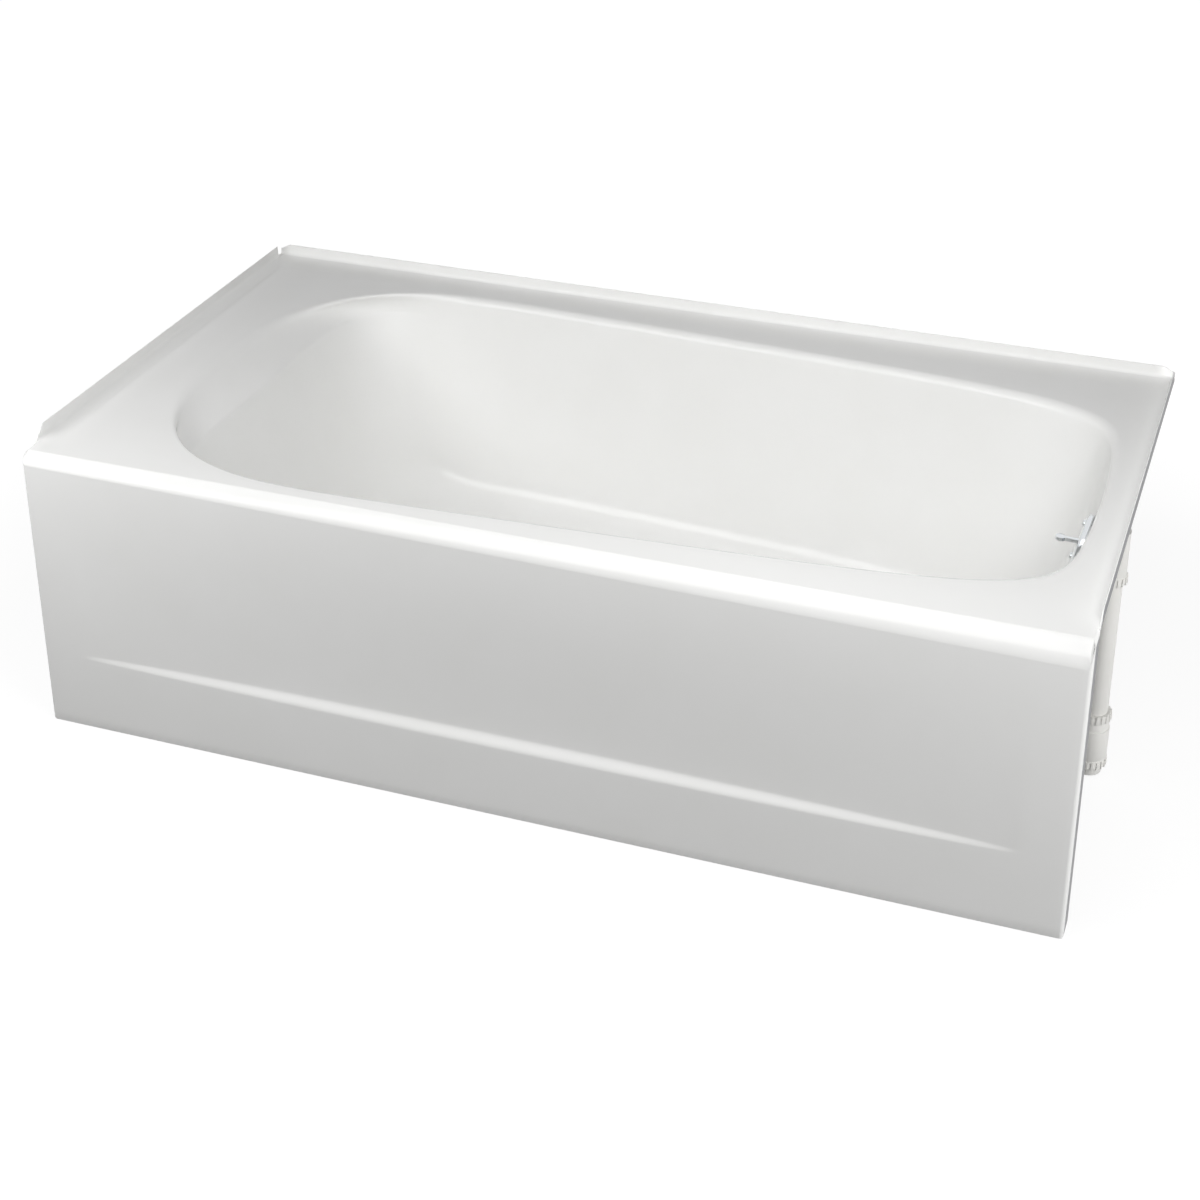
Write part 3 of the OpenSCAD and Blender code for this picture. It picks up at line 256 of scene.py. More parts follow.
def sheet_faces(levels, count, first=0):
    """Quads between rings of one stack."""
    quads = []
    for k in range(levels - 1):
        for i in range(count):
            j = (i + 1) % count
            a = first + k * count
            quads.append((a + i, a + count + i, a + count + j, a + j))
    return quads


def joined_edge(a, b, count):
    return [(a + i, a + (i + 1) % count, b + (i + 1) % count, b + i) for i in range(count)]


def new_object(name, data):
    made = bpy.data.objects.new(name, data)
    bpy.context.scene.collection.objects.link(made)
    return made


def shade_smooth(mesh, sharp):
    """Smooth, but for edges that turn by more than an angle in degrees."""
    mesh.polygons.foreach_set("use_smooth", [True] * len(mesh.polygons))
    mesh.set_sharp_from_angle(angle=math.radians(sharp))


def new_piece(name, points, faces, materials, sharp=35):
    """A mesh from points in millimetres, with normals outwards and smooth but for sharp edges."""
    mesh = bpy.data.meshes.new(name)
    at = [tuple(float(c) / 1000 for c in p) for p in points]
    mesh.from_pydata(at, [], [tuple(map(int, f)) for f in faces])
    bm = bmesh.new()
    bm.from_mesh(mesh)
    bmesh.ops.remove_doubles(bm, verts=bm.verts, dist=1e-6)
    bmesh.ops.recalc_face_normals(bm, faces=bm.faces)
    bm.to_mesh(mesh)
    bm.free()
    for material in materials:
        mesh.materials.append(material)
    shade_smooth(mesh, sharp)
    return new_object(name, mesh)


def fix(piece, body, slot, *nodes):
    """The piece rides on a body and stands for CAD nodes."""
    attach(piece, body)
    if nodes:
        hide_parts(*nodes)
    return piece


def linear(code):
    """Linear colour of an sRGB hex value."""
    parts = [int(code[i : i + 2], 16) / 255 for i in (1, 3, 5)]
    return tuple(c / 12.92 if c <= 0.04045 else ((c + 0.055) / 1.055) ** 2.4 for c in parts) + (1,)


def add(tree, kind, values=(), links=(), **settings):
    """One shader node with its settings, values and links."""
    made = tree.nodes.new(kind)
    for key, value in settings.items():
        setattr(made, key, value)
    for key, value in dict(values).items():
        made.inputs[key].default_value = value
    for key, source in dict(links).items():
        tree.links.new(source, made.inputs[key])
    return made


def new_material(name, colour, roughness, metallic=0, ior=None, **more):
    """A material with a surface shader; returns it with its tree, shader and place on the object."""
    material = bpy.data.materials.new(name)
    material.use_nodes = True
    tree = material.node_tree
    surface = tree.nodes["Principled BSDF"]
    surface.inputs["Base Color"].default_value = linear(colour)
    surface.inputs["Roughness"].default_value = roughness
    surface.inputs["Metallic"].default_value = metallic
    if ior:
        surface.inputs["IOR"].default_value = ior
    for key, value in more.items():
        surface.inputs[key.replace("_", " ")].default_value = value
    place = add(tree, "ShaderNodeTexCoord").outputs["Object"]
    return material, tree, surface, place


def noise(tree, place, scale, detail, **more):
    values = {"Scale": scale, "Detail": detail, **more}
    return add(tree, "ShaderNodeTexNoise", values, {"Vector": place}).outputs["Fac"]


def tint(tree, surface, source, low, high, low_at=0, high_at=1):
    """Colours the surface from low to high as the source grows."""
    ramp = add(tree, "ShaderNodeValToRGB", links={"Fac": source})
    for stop, code, at in zip(ramp.color_ramp.elements, (low, high), (low_at, high_at)):
        stop.color, stop.position = linear(code), at
    tree.links.new(ramp.outputs["Color"], surface.inputs["Base Color"])


def dull(tree, surface, source, low, high):
    """Spreads the surface's roughness from low to high as the source grows."""
    spread = add(tree, "ShaderNodeMapRange", {"To Min": low, "To Max": high}, {"Value": source})
    tree.links.new(spread.outputs[0], surface.inputs["Roughness"])


def emboss(tree, surface, source, strength, distance, **more):
    """Lifts the surface by the source, with the distance in metres."""
    values = {"Strength": strength, "Distance": distance}
    bump = add(tree, "ShaderNodeBump", values, {"Height": source}, **more)
    tree.links.new(bump.outputs["Normal"], surface.inputs["Normal"])
    return bump


# Vitreous enamel: glass fused to steel, so a hard gloss over an even white, with the faint ripple
# that it keeps from flowing in the kiln. The ripple is 5 mm across, and a slower one 60 mm across
# bends long reflections a little.
enamel, tree, surface, place = new_material("white_vitreous_enamel", "#F7F7F6", 0.1, ior=1.52)
tint(tree, surface, noise(tree, place, 9, 2), "#F5F5F3", "#F9F9F8")
ripple = emboss(tree, surface, noise(tree, place, 16, 1), 0.08, 0.0002)
peel = emboss(tree, surface, noise(tree, place, 200, 1), 0.05, 0.00005)
tree.links.new(ripple.outputs["Normal"], peel.inputs["Normal"])

# Ground-coat enamel: the first firing, blue-black and less glossy, with the pale specks of an
# unpolished coat about 2 mm apart. Its dark also stands as painted shade on the outer faces of
# the flanges and of the apron's returns.
ground_coat_and_shade, tree, surface, place = new_material("ground_coat_and_painted_shade", "#33373D", 0.32, ior=1.52)
specks = add(tree, "ShaderNodeTexVoronoi", {"Scale": 420}, {"Vector": place})
tint(tree, surface, specks.outputs["Distance"], "#6B7078", "#30343A", 0.08, 0.22)
emboss(tree, surface, noise(tree, place, 260, 3), 0.25, 0.0002)

count = len(stations)
stack = np.array(deck_rings + well_rings + floor_rings, dtype=float)
normals = ring_normals(stack, len(deck_rings) + 1)
under = stack - sheet_t * normals
top_points = np.concatenate([stack, np.array([round_ring(r, z) for r, z in recess_top])])
low_points = np.concatenate([under, np.array([round_ring(r, z) for r, z in recess_low])])
levels = len(top_points)
points = list(top_points.reshape(-1, 3)) + list(low_points.reshape(-1, 3))
faces = sheet_faces(levels, count) + sheet_faces(levels, count, levels * count)
faces += joined_edge(0, levels * count, count)
faces += joined_edge((levels - 1) * count, (2 * levels - 1) * count, count)


def flange_profile(top, edge):
    """Outline of a flange across its length: a 1 mm rounded top and a 6 mm fillet to the deck."""
    fillet_z = edge_z + 5.5
    outline = [(0, flange_top - 1), (0.3, flange_top - 0.3), (1, flange_top)]
    outline += [(1.7, flange_top - 0.3), (sheet_t, flange_top - 1), (sheet_t, fillet_z)]
    for a in (10, 22, 34, 46, 58, 69):
        outline.append((sheet_t + fillet_r * (1 - cosine(a)), fillet_z - fillet_r * sine(a)))
    share = (top - edge) / (flange_top - edge_z)
    raised = [(w, edge + (z - edge_z) * share) for w, z in outline]
    low = deck_h - sheet_t
    return [(0, low)] + raised + [(5.8, edge - 3), (sheet_t, low)]


def add_flange(path, inward):
    """A strip along a path of (x, y, top, edge of the deck)."""
    first = len(points)
    for x, y, top, edge in path:
        outline = flange_profile(top, edge)
        n = len(outline)
        points.extend((x + inward[0] * w, y + inward[1] * w, z) for w, z in outline)
    for k in range(len(path) - 1):
        a = first + k * n
        faces.extend((a + i, a + (i + 1) % n, a + n + (i + 1) % n, a + n + i) for i in range(n))
    faces.append([first + i for i in range(n)])
    faces.append([first + (len(path) - 1) * n + i for i in range(n)])


def slant_top(y):
    """Top of an end flange, with its corner rounded over a few millimetres."""
    from_edge = y - y_front
    shares = [min(1, max(0, (from_edge + s - flange_start) / flange_slant)) for s in (-2, -1, 0, 1, 2)]
    return deck_h + (flange_top - deck_h) * sum(shares) / 5


slant_at = [38, 39, 40, 41, 42.5, 45, 48, 51, 54, 56, 57, 58, 59, 60, 61, 63]
end_at = [y_front + s for s in slant_at] + list(np.linspace(y_front + 80, y_back - flange_gap, 16))
for x_edge, inward in ((x_head, (1, 0)), (x_drain, (-1, 0))):
    path = []
    for y in end_at:
        edge = deck_h + deck_rise(y)
        path.append((x_edge, y, max(slant_top(y), edge + 0.3), edge))
    path += [(x_edge, y, edge_z + 0.8, edge_z) for y in (y_back - flange_gap + 0.4, y_back - 1)]
    add_flange(path, inward)

bevel_at = [0, 4, 8, 12, 15, 16, 17, 18, 19, 22]
path = []
back_at = bevel_at + list(np.linspace(60, bath_l - 60, 24))
for s in back_at + [bath_l - b for b in reversed(bevel_at)]:
    from_end = min(s, bath_l - s)
    drops = [bevel_h * max(0, 1 - max(0, from_end + d) / bevel_w) for d in (-1.5, 0, 1.5)]
    path.append((x_head + s, y_back, flange_top - sum(drops) / 3, edge_z))
add_flange(path, (0, -1))


def coat_hidden_and_shaded_faces(piece, hidden, painted_shade_walls):
    """The ground coat on faces made of hidden points, and its dark as painted shade on faces that lie
    against a wall.
    """
    # A mesh keeps its coordinates as float32, so the points are matched as float32 too
    hidden = {tuple(np.round(np.float32(np.array(p) / 1000).astype(float), 5)) for p in hidden}
    for face in piece.data.polygons:
        at = [tuple(np.round(piece.data.vertices[v].co, 5)) for v in face.vertices]
        # Faces against a wall get the ground coat's dark as painted shade
        in_painted_shade = any(all(abs(p[i] - edge / 1000) < 1e-5 for p in at) for i, edge in painted_shade_walls)
        face.material_index = int(in_painted_shade or all(p in hidden for p in at))


# The faces at both ends, painted dark in the ground coat as painted shade
painted_shade_ends = [(0, x_head), (0, x_drain)]
pan = new_piece("bath_pan", points, faces, [enamel, ground_coat_and_shade], sharp=40)
# The outer faces of the flanges at both ends and at the back get the ground coat's dark as painted
# shade
coat_hidden_and_shaded_faces(pan, points[levels * count : 2 * levels * count], painted_shade_ends + [(1, y_back)])


def apply_modifier(piece, modifier):
    """Gives the piece the mesh that its modifier makes."""
    shown = piece.evaluated_get(bpy.context.evaluated_depsgraph_get())
    made = bpy.data.meshes.new_from_object(shown)
    piece.modifiers.remove(modifier)
    piece.data = made


def placing(place, direction):
    """Turns the Z axis to a direction and moves to a place in millimetres."""
    turn = Vector((0, 0, 1)).rotation_difference(Vector(direction)).to_matrix().to_4x4()
    return Matrix.Translation(Vector(place) / 1000) @ turn


def cut_round(piece, centre, radius, direction, length):
    """Cuts a round hole along a direction, in millimetres."""
    bpy.ops.mesh.primitive_cylinder_add(vertices=72, radius=radius / 1000, depth=length / 1000)
    tool = bpy.context.object
    tool.data.transform(placing(centre, direction))
    modifier = piece.modifiers.new("hole", "BOOLEAN")
    modifier.operation = "DIFFERENCE"
    modifier.object = tool
    modifier.solver = "EXACT"
    apply_modifier(piece, modifier)
    bpy.data.objects.remove(tool)


wall_in_at_overflow = wall_in(deck_h - overflow_z, lip_r, end_draft, drain_floor_r)
overflow_x = x_drain - rim_drain - wall_in_at_overflow
out_of_wall = (cosine(end_draft), 0, -sine(end_draft))
cut_round(pan, (overflow_x, well_y, overflow_z), overflow_hole_r, out_of_wall, 24)
flanges = ("tiling_flange_head", "tiling_flange_drain", "tiling_flange_back")
fix(pan, "bath", "enamel", "bath_deck", "bath_well", *flanges)


# The backing: a composite of resin and filler, moulded over the outside of the well and bonded to
# it. It stiffens the thin steel, deadens its ring and keeps the water warm. It has a flat boss
# round the drain for the gasket.

backing_t = 6
boss_r, boss_z = 44, 81

# Moulded composite: grey, matt, pebbled in grains of 4 mm with a few darker lumps of filler
composite, tree, surface, place = new_material("moulded_composite", "#8C8B87", 0.62, ior=1.5)
grains = {"Scale": 230, "Smoothness": 0.7}
pebble = add(tree, "ShaderNodeTexVoronoi", grains, {"Vector": place}, feature="SMOOTH_F1")
mixed = add(
    tree,
    "ShaderNodeMath",
    links={0: pebble.outputs["Distance"], 1: noise(tree, place, 30, 4)},
    operation="MULTIPLY",
)
tint(tree, surface, mixed.outputs[0], "#9A9994", "#72716E", high_at=0.6)
emboss(tree, surface, pebble.outputs["Distance"], 0.5, 0.0006, invert=True)

wall_levels = slice(len(deck_rings), None)
inner = under[wall_levels]
inner = np.concatenate([inner, np.array([round_ring(r, z) for r, z in recess_low])])
far = (stack - (sheet_t + backing_t) * normals)[wall_levels][:-1]
from_drain = np.hypot(far[:, :, 0] - drain_x, far[:, :, 1] - well_y).min(axis=1)
boss = [(boss_r + 6, 84.3), (boss_r + 1.5, 83.9), (boss_r, 82.5)]
boss += [(boss_r - 0.8, boss_z), (drain_hole_r, boss_z)]
boss_rings = np.array([round_ring(r, z) for r, z in boss])
outer = np.concatenate([far[from_drain > boss_r + 8], boss_rings])
points = list(inner.reshape(-1, 3)) + list(outer.reshape(-1, 3))
faces = sheet_faces(len(inner), count) + sheet_faces(len(outer), count, len(inner) * count)
faces += joined_edge(0, len(inner) * count, count)
faces += joined_edge((len(inner) - 1) * count, len(points) - count, count)
backing = new_piece("well_backing", points, faces, [composite])
cut_round(backing, (overflow_x, well_y, overflow_z), overflow_hole_r, out_of_wall, 40)
fix(backing, "bath", "composite", "composite_backing")


# The apron: a panel of 2 mm steel, pressed with a rolled band at the top, a lens-shaped ledge low
# down and a foot turned in at the floor. Short returns in the ground coat close both corners; their
# outer faces get its dark as painted shade. Its seam with the deck is welded, ground flush and lost
# under the enamel at the roll, which is a little flatter between its bends than an arc.

roll_drop_head, roll_drop_drain, roll_end = 17, 36, 55
corner_r, foot_flange = 6, 30
ledge_z, ledge_rise, ledge_depth, ledge_inset = 125, 20, 8, 70
foot_round, roll_flatness = 4, 0.45


def swell(x):
    u = min(1, abs(x) / (bath_l / 2 - ledge_inset))
    return (1 - u * u) ** 0.7


def ledge_height(x):
    return ledge_rise * (0.35 + 0.65 * swell(x))


def eased(u):
    s = min(1, max(0, u))
    return s * s * (3 - 2 * s)


def face_in(x, z):
    """How far the face lies behind the apron's plane, which is only above the ledge."""
    h = ledge_height(x)
    ledge = eased((z - ledge_z + h / 2) / h)
    fade = 1 - eased((z - ledge_z - h / 2) / (deck_h - roll_drop_drain - ledge_z - h / 2))
    return ledge_depth * swell(x) * ledge * fade


def roll_drop_at(x):
    return roll_drop_head + (roll_drop_drain - roll_drop_head) * (x - x_head) / bath_l


def apron_stations():
    """Foot, seam, drop and steepness of the roll, from the back of one return to the other's."""
    corner_s = [i / 10 for i in range(11)]
    ends = []
    for side in (-1, 1):
        edge, drop = (x_head, roll_drop_head) if side < 0 else (x_drain, roll_drop_drain)
        end = [
            ((edge, y_front + y), (edge - side * end_roll, y_front + y), end_roll, 90)
            for y in (flange_start, 33, 28, 23, roll_w + 1)
        ]
        for s in corner_s:
            foot_x = edge - side * corner_r * (1 - cosine(90 * s))
            foot = (foot_x, y_front + corner_r * (1 - sine(90 * s)))
            seam = (edge - side * (end_roll + 0.4 * s), y_front + roll_w + 0.4 * (1 - s))
            turn = eased(s)
            end.append((foot, seam, end_roll + (drop - end_roll) * turn, 90 + (roll_end - 90) * turn))
        ends.append(end)
    front = []
    for x in np.linspace(x_head + roll_w, x_drain - roll_w, 241):
        front.append(((x, y_front), (x, y_front + roll_w), roll_drop_at(x), roll_end))
    return ends[0] + front + ends[1][::-1]


def apron_column(foot, seam, drop, steep):
    """Points of the outer face from the seam over the roll, down the face and in under the foot."""
    foot, seam = np.array(foot), np.array(seam)
    inward = (seam - foot) / np.linalg.norm(seam - foot)
    top = deck_h + deck_rise(seam[1])
    column = []
    for a in np.linspace(0, steep, 13):
        out = sine(a) / sine(steep)
        sink = (1 - cosine(a)) / (1 - cosine(steep))
        flatter = roll_flatness * min(1, 4 * out * (1 - out)) * (steep < 80)
        p = seam + (foot - seam) * out
        fall = (drop + top - deck_h) * (sink + (out - sink) * flatter)
        column.append((p[0], p[1], top - fall))
    h = ledge_height(foot[0])
    high, low, start = ledge_z + h / 2, ledge_z - h / 2, deck_h - drop
    rows = [start - 0.8, start - 2.5]
    rows += list(np.linspace(start - 6, high + 4, 24)) + [high + 1.5]
    rows += list(np.linspace(high, low, 15)) + list(np.linspace(low - 3, foot_round, 9))
    flat_face = foot[1] < y_front + 0.001
    for z in rows:
        p = foot + inward * (face_in(foot[0], z) if flat_face else 0)
        column.append((p[0], p[1], z))
    reach = foot_flange if flat_face else 2 * sheet_t + foot_round
    for a in (30, 60, 90):
        p = foot + inward * foot_round * (1 - cosine(a))
        column.append((p[0], p[1], foot_round * (1 - sine(a))))
    for w in np.linspace(foot_round + 2, reach, 4):
        p = foot + inward * w
        column.append((p[0], p[1], 0))
    return column


outside = np.array([apron_column(*station) for station in apron_stations()])
across = np.gradient(outside, axis=0)
down = np.gradient(outside, axis=1)
normals = np.cross(across, down)
normals /= np.linalg.norm(normals, axis=2, keepdims=True)
if normals[len(normals) // 2, 20, 1] > 0:
    normals = -normals
inside = outside - sheet_t * normals
inside[:, :, 0] = np.clip(inside[:, :, 0], x_head, x_drain)
inside[:, -4:, 2] = sheet_t
columns, height = outside.shape[:2]
points = list(outside.reshape(-1, 3)) + list(inside.reshape(-1, 3))
back_of = columns * height
faces = []
for k in range(columns - 1):
    for i in range(height - 1):
        a = k * height + i
        quad = (a, a + height, a + height + 1, a + 1)
        faces += [quad, tuple(v + back_of for v in quad)]
for k in range(columns - 1):
    for a in (k * height, k * height + height - 1):
        faces.append((a, a + height, a + height + back_of, a + back_of))
for i in range(height - 1):
    for a in (i, (columns - 1) * height + i):
        faces.append((a, a + 1, a + 1 + back_of, a + back_of))
apron = new_piece("apron", points, faces, [enamel, ground_coat_and_shade], sharp=24)
# The returns' outer faces at both ends get the ground coat's dark as painted shade
coat_hidden_and_shaded_faces(apron, inside.reshape(-1, 3), painted_shade_ends)
fix(apron, "bath", "enamel", "apron")


# The stiffener: a channel folded from 2 mm zinc-plated steel and glued behind the apron, below its
# ledge, so that the panel doesn't drum.


def softened(node, name, materials, bevel=0.4, sharp=30):
    """A piece with a CAD node's own shape, its edges rounded as the real maker's tool leaves them."""
    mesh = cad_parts[node].data.copy()
    mesh.name = name
    bm = bmesh.new()
    bm.from_mesh(mesh)
    bmesh.ops.remove_doubles(bm, verts=bm.verts, dist=2e-6)
    bmesh.ops.dissolve_limit(bm, angle_limit=math.radians(0.6), verts=bm.verts, edges=bm.edges)
    bmesh.ops.dissolve_degenerate(bm, dist=2e-6, edges=bm.edges)
    for face in bm.faces:
        face.material_index = 0
    bm.to_mesh(mesh)
    bm.free()
    mesh.materials.clear()
    for material in materials:
        mesh.materials.append(material)
    piece = new_object(name, mesh)
    if bevel:
        rounded = piece.modifiers.new("rounded_edges", "BEVEL")
        rounded.width = bevel / 1000
        rounded.segments = 2
        rounded.limit_method = "ANGLE"
        rounded.angle_limit = math.radians(40)
        rounded.use_clamp_overlap = True
        rounded.harden_normals = False
        apply_modifier(piece, rounded)
    shade_smooth(piece.data, sharp)
    return piece


# Zinc-plated steel: bluish grey, half gloss, with faint rolling lines along the bath 3 mm apart
# and the cloudy spangle of the plating
zinc_steel, tree, surface, place = new_material("zinc_plated_steel", "#B4B9BF", 0.38, metallic=1)
stretch = add(tree, "ShaderNodeMapping", {"Scale": (4, 330, 330)}, {"Vector": place})
lines = noise(tree, stretch.outputs[0], 1, 3)
spangle = add(tree, "ShaderNodeTexVoronoi", {"Scale": 110}, {"Vector": place})
tint(tree, surface, spangle.outputs["Color"], "#A9AFB6", "#BFC4C8")
dull(tree, surface, lines, 0.3, 0.5)
emboss(tree, surface, lines, 0.15, 0.0001)

channel = softened("apron_stiffener", "apron_stiffener_channel", [zinc_steel], 0.8)
fix(channel, "bath", "zinc_steel", "apron_stiffener")


# The two floor supports: moulded beams of the same composite as the backing, with two arches each,
# bonded under the floor. The moulder's draft and soft edges show on their ends.

for end in ("head", "drain"):
    beam = softened(f"floor_support_{end}", f"floor_beam_{end}", [composite], 2.5)
    fix(beam, "bath", "composite", f"floor_support_{end}")


# The foot pads: round mats of black rubber under the outer legs, moulded with rings on the face
# towards the floor and a chamfer round the edge, so that they grip and don't curl.

pad_r, pad_t = 28, 6

# Moulded rubber: near black, matt, with a fine pitted skin 1 mm in grain and a little dust
rubber, tree, surface, place = new_material("moulded_black_rubber", "#26272A", 0.72, ior=1.52)
tint(tree, surface, noise(tree, place, 45, 5), "#202124", "#383A3E")
emboss(tree, surface, noise(tree, place, 900, 2), 0.3, 0.0001)


def turned(outline, centre, steps=72, axis=(0, 0, 1), start=(1, 0, 0)):
    """Points and faces of a closed outline of (radius, height) turned round an axis."""
    up, right = Vector(axis).normalized(), Vector(start).normalized()
    ahead = up.cross(right)
    ring_points, ring_faces = [], []
    for i in range(steps):
        a = math.tau * i / steps
        out = right * math.cos(a) + ahead * math.sin(a)
        ring_points += [tuple(Vector(centre) + out * r + up * h) for r, h in outline]
    n = len(outline)
    for i in range(steps):
        a, b = i * n, (i + 1) % steps * n
        for k in range(n):
            m = (k + 1) % n
            if outline[k][0] > 1e-6 or outline[m][0] > 1e-6:
                ring_faces.append((a + k, b + k, b + m, a + m))
    return ring_points, ring_faces


def turned_piece(name, outline, centre, materials, sharp=35, **more):
    made_points, made_faces = turned(outline, centre, **more)
    return new_piece(name, made_points, made_faces, materials, sharp)


ridges = []
for r in (24.5, 20.5, 16.5, 12.5, 8.5):
    ridges += [(r, 0), (r - 0.4, 1), (r - 1.6, 1), (r - 2, 0)]
pad_outline = [(0.001, pad_t), (pad_r - 1.2, pad_t), (pad_r, pad_t - 1.2), (pad_r, 1), (pad_r - 1, 0)]
pad_outline += ridges + [(0.001, 0)]
for corner in ("head_front", "head_back", "drain_front", "drain_back"):
    node = f"foot_pad_{corner}"
    low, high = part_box(node)
    centre = ((low[0] + high[0]) * 500, (low[1] + high[1]) * 500, 0)
    fix(turned_piece(f"{node}_ribbed", pad_outline, centre, [rubber]), "bath", "rubber", node)


# The apron's braces: straps of 3 mm zinc-plated steel from the apron's foot to the supports, turned
# up at the end. Their four screws have pan heads with a cross recess.

for end in ("head", "drain"):
    strap = softened(f"apron_brace_{end}", f"apron_strap_{end}", [zinc_steel], 0.5)
    fix(strap, "bath", "zinc_steel", f"apron_brace_{end}")


def new_group(name, inputs):
    """A geometry tree with named inputs, its first and last nodes and its inputs' identifiers."""
    tree = bpy.data.node_groups.new(name, "GeometryNodeTree")
    tree.interface.new_socket("Geometry", in_out="INPUT", socket_type="NodeSocketGeometry")
    for label, kind in inputs.items():
        tree.interface.new_socket(label, in_out="INPUT", socket_type=f"NodeSocket{kind}")
    tree.interface.new_socket("Geometry", in_out="OUTPUT", socket_type="NodeSocketGeometry")
    return tree, tree.nodes.new("NodeGroupInput"), tree.nodes.new("NodeGroupOutput")


def close_group(tree, end, geometry, material_source):
    """Ends a tree in Realize Instances and Set Material."""
    real = add(tree, "GeometryNodeRealizeInstances", links={"Geometry": geometry})
    links = {"Geometry": real.outputs[0], "Material": material_source}
    painted = add(tree, "GeometryNodeSetMaterial", links=links)
    tree.links.new(painted.outputs[0], end.inputs[0])


def grown(name, start_mesh, tree, values, sharp=35):
    """The plain mesh that a geometry tree makes from a starting mesh."""
    piece = new_object(name, start_mesh)
    modifier = piece.modifiers.new("rule", "NODES")
    modifier.node_group = tree
    for item in tree.interface.items_tree:
        if item.in_out == "INPUT" and item.name in values:
            modifier[item.identifier] = values[item.name]
    apply_modifier(piece, modifier)
    shade_smooth(piece.data, sharp)
    return piece


# Screws on points: each point carries the direction of its screw
inputs = {"Screw": "Object", "Finish": "Material", "Size": "Float"}
tree, start, end = new_group("screws_on_points", inputs)
way = add(tree, "GeometryNodeInputNamedAttribute", {"Name": "turn"}, data_type="FLOAT_VECTOR")
screw = add(tree, "GeometryNodeObjectInfo", {"As Instance": True}, {"Object": start.outputs["Screw"]})
placed = add(
    tree,
    "GeometryNodeInstanceOnPoints",
    links={
        "Points": start.outputs["Geometry"],
        "Instance": screw.outputs["Geometry"],
        "Rotation": way.outputs["Attribute"],
        "Scale": start.outputs["Size"],
    },
)
close_group(tree, end, placed.outputs[0], start.outputs["Finish"])
screws_on_points = tree


def screw_model(name, d, length):
    """A screw with its cross recess: a star-shaped pit in a turned head, and a threaded shank."""
    h = 0.6 * d
    outline = [(0.4 * d, -h), (0.75 * d, -h), (0.93 * d, -0.78 * h), (d, -0.45 * h), (d, 0), (d / 2, 0)]
    pitch = 0.2 * d
    z = pitch
    while z < length - pitch:
        outline += [(d / 2, z), (0.42 * d, z + 0.45 * pitch)]
        z += 0.9 * pitch
    outline += [(0.38 * d, length - 0.2), (0.3 * d, length)]
    steps, n = 48, len(outline) + 2
    made_points, made_faces = [], []
    for i in range(steps):
        a = math.tau * i / steps
        arm = 0.4 * d * (0.42 + 0.58 * abs(math.cos(2 * a)) ** 3)
        column = [(0.6 * arm, -0.45 * h), (arm, -h)] + outline
        made_points += [(r * math.cos(a), r * math.sin(a), w) for r, w in column]
    for i in range(steps):
        a, b = i * n, (i + 1) % steps * n
        made_faces += [(a + k, b + k, b + k + 1, a + k + 1) for k in range(n - 1)]
    made_faces.append([i * n for i in range(steps)])
    made_faces.append([i * n + n - 1 for i in range(steps)])
    return new_piece(name, made_points, made_faces, [])


def screws_at(name, places, model, finish):
    """Screws made by the tree at places of (point in millimetres, direction)."""
    mesh = bpy.data.meshes.new(name)
    mesh.from_pydata([tuple(c / 1000 for c in p) for p, _ in places], [], [])
    turn = mesh.attributes.new("turn", "FLOAT_VECTOR", "POINT")
    for item, (_, direction) in zip(turn.data, places):
        item.vector = Vector(direction).to_track_quat("Z", "Y").to_euler()
    return grown(name, mesh, screws_on_points, {"Screw": model, "Finish": finish, "Size": 1.0})


def joined(name, pieces):
    """One piece from several of the same materials."""
    bm = bmesh.new()
    for piece in pieces:
        bm.from_mesh(piece.data)
    mesh = bpy.data.meshes.new(name)
    bm.to_mesh(mesh)
    bm.free()
    for material in pieces[0].data.materials:
        mesh.materials.append(material)
    for piece in pieces:
        bpy.data.objects.remove(piece)
    return new_object(name, mesh)


support_head_x, support_drain_x = x_head + 420, x_drain - 350
brace_t, brace_screw_d, tab_screw_z = 3, 5, 36
apron_screw_y = y_front + 22
short = screw_model("short_screw", brace_screw_d, 4.7)
long = screw_model("long_screw", brace_screw_d, 17)
tabs = [
    ((x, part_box(f"apron_brace_{end}")[1][1] * 1000 - brace_t, tab_screw_z), (0, 1, 0))
    for end, x in (("head", support_head_x), ("drain", support_drain_x))
]
feet = [((x, apron_screw_y, 5), (0, 0, -1)) for x in (support_head_x, support_drain_x)]
screw_sets = [
    screws_at("tab_screws", tabs, long, zinc_steel),
    screws_at("foot_screws", feet, short, zinc_steel),
]
strap_screws = joined("strap_screws", screw_sets)
for model in (short, long):
    bpy.data.objects.remove(model)
fix(strap_screws, "bath", "zinc_steel", "brace_screws")


# The drain flange: cast brass, turned, polished and chromed. It screws through the floor into the
# waste shoe, and its cross of three bars carries the hub that guides the stopper. A rubber ring
# seals it under the backing's boss.

# Polished chrome: a mirror with a cool tone, with wipe marks that only blur it a little
chrome, tree, surface, place = new_material("polished_chrome", "#DDE0E3", 0.05, metallic=1)
dull(tree, surface, noise(tree, place, 60, 4, Distortion=1.5), 0.03, 0.13)

fix(softened("drain_strainer", "drain_flange", [chrome], 0.5), "bath", "chrome", "drain_strainer")
fix(softened("drain_gasket", "drain_seal_ring", [rubber], 0.8), "bath", "rubber", "drain_gasket")


# The waste and overflow: 38 mm tubes extruded in white plastic, and a shoe, a tee and an elbow
# moulded in it. They run from the drain to the tee, up to the overflow and down to the trap.

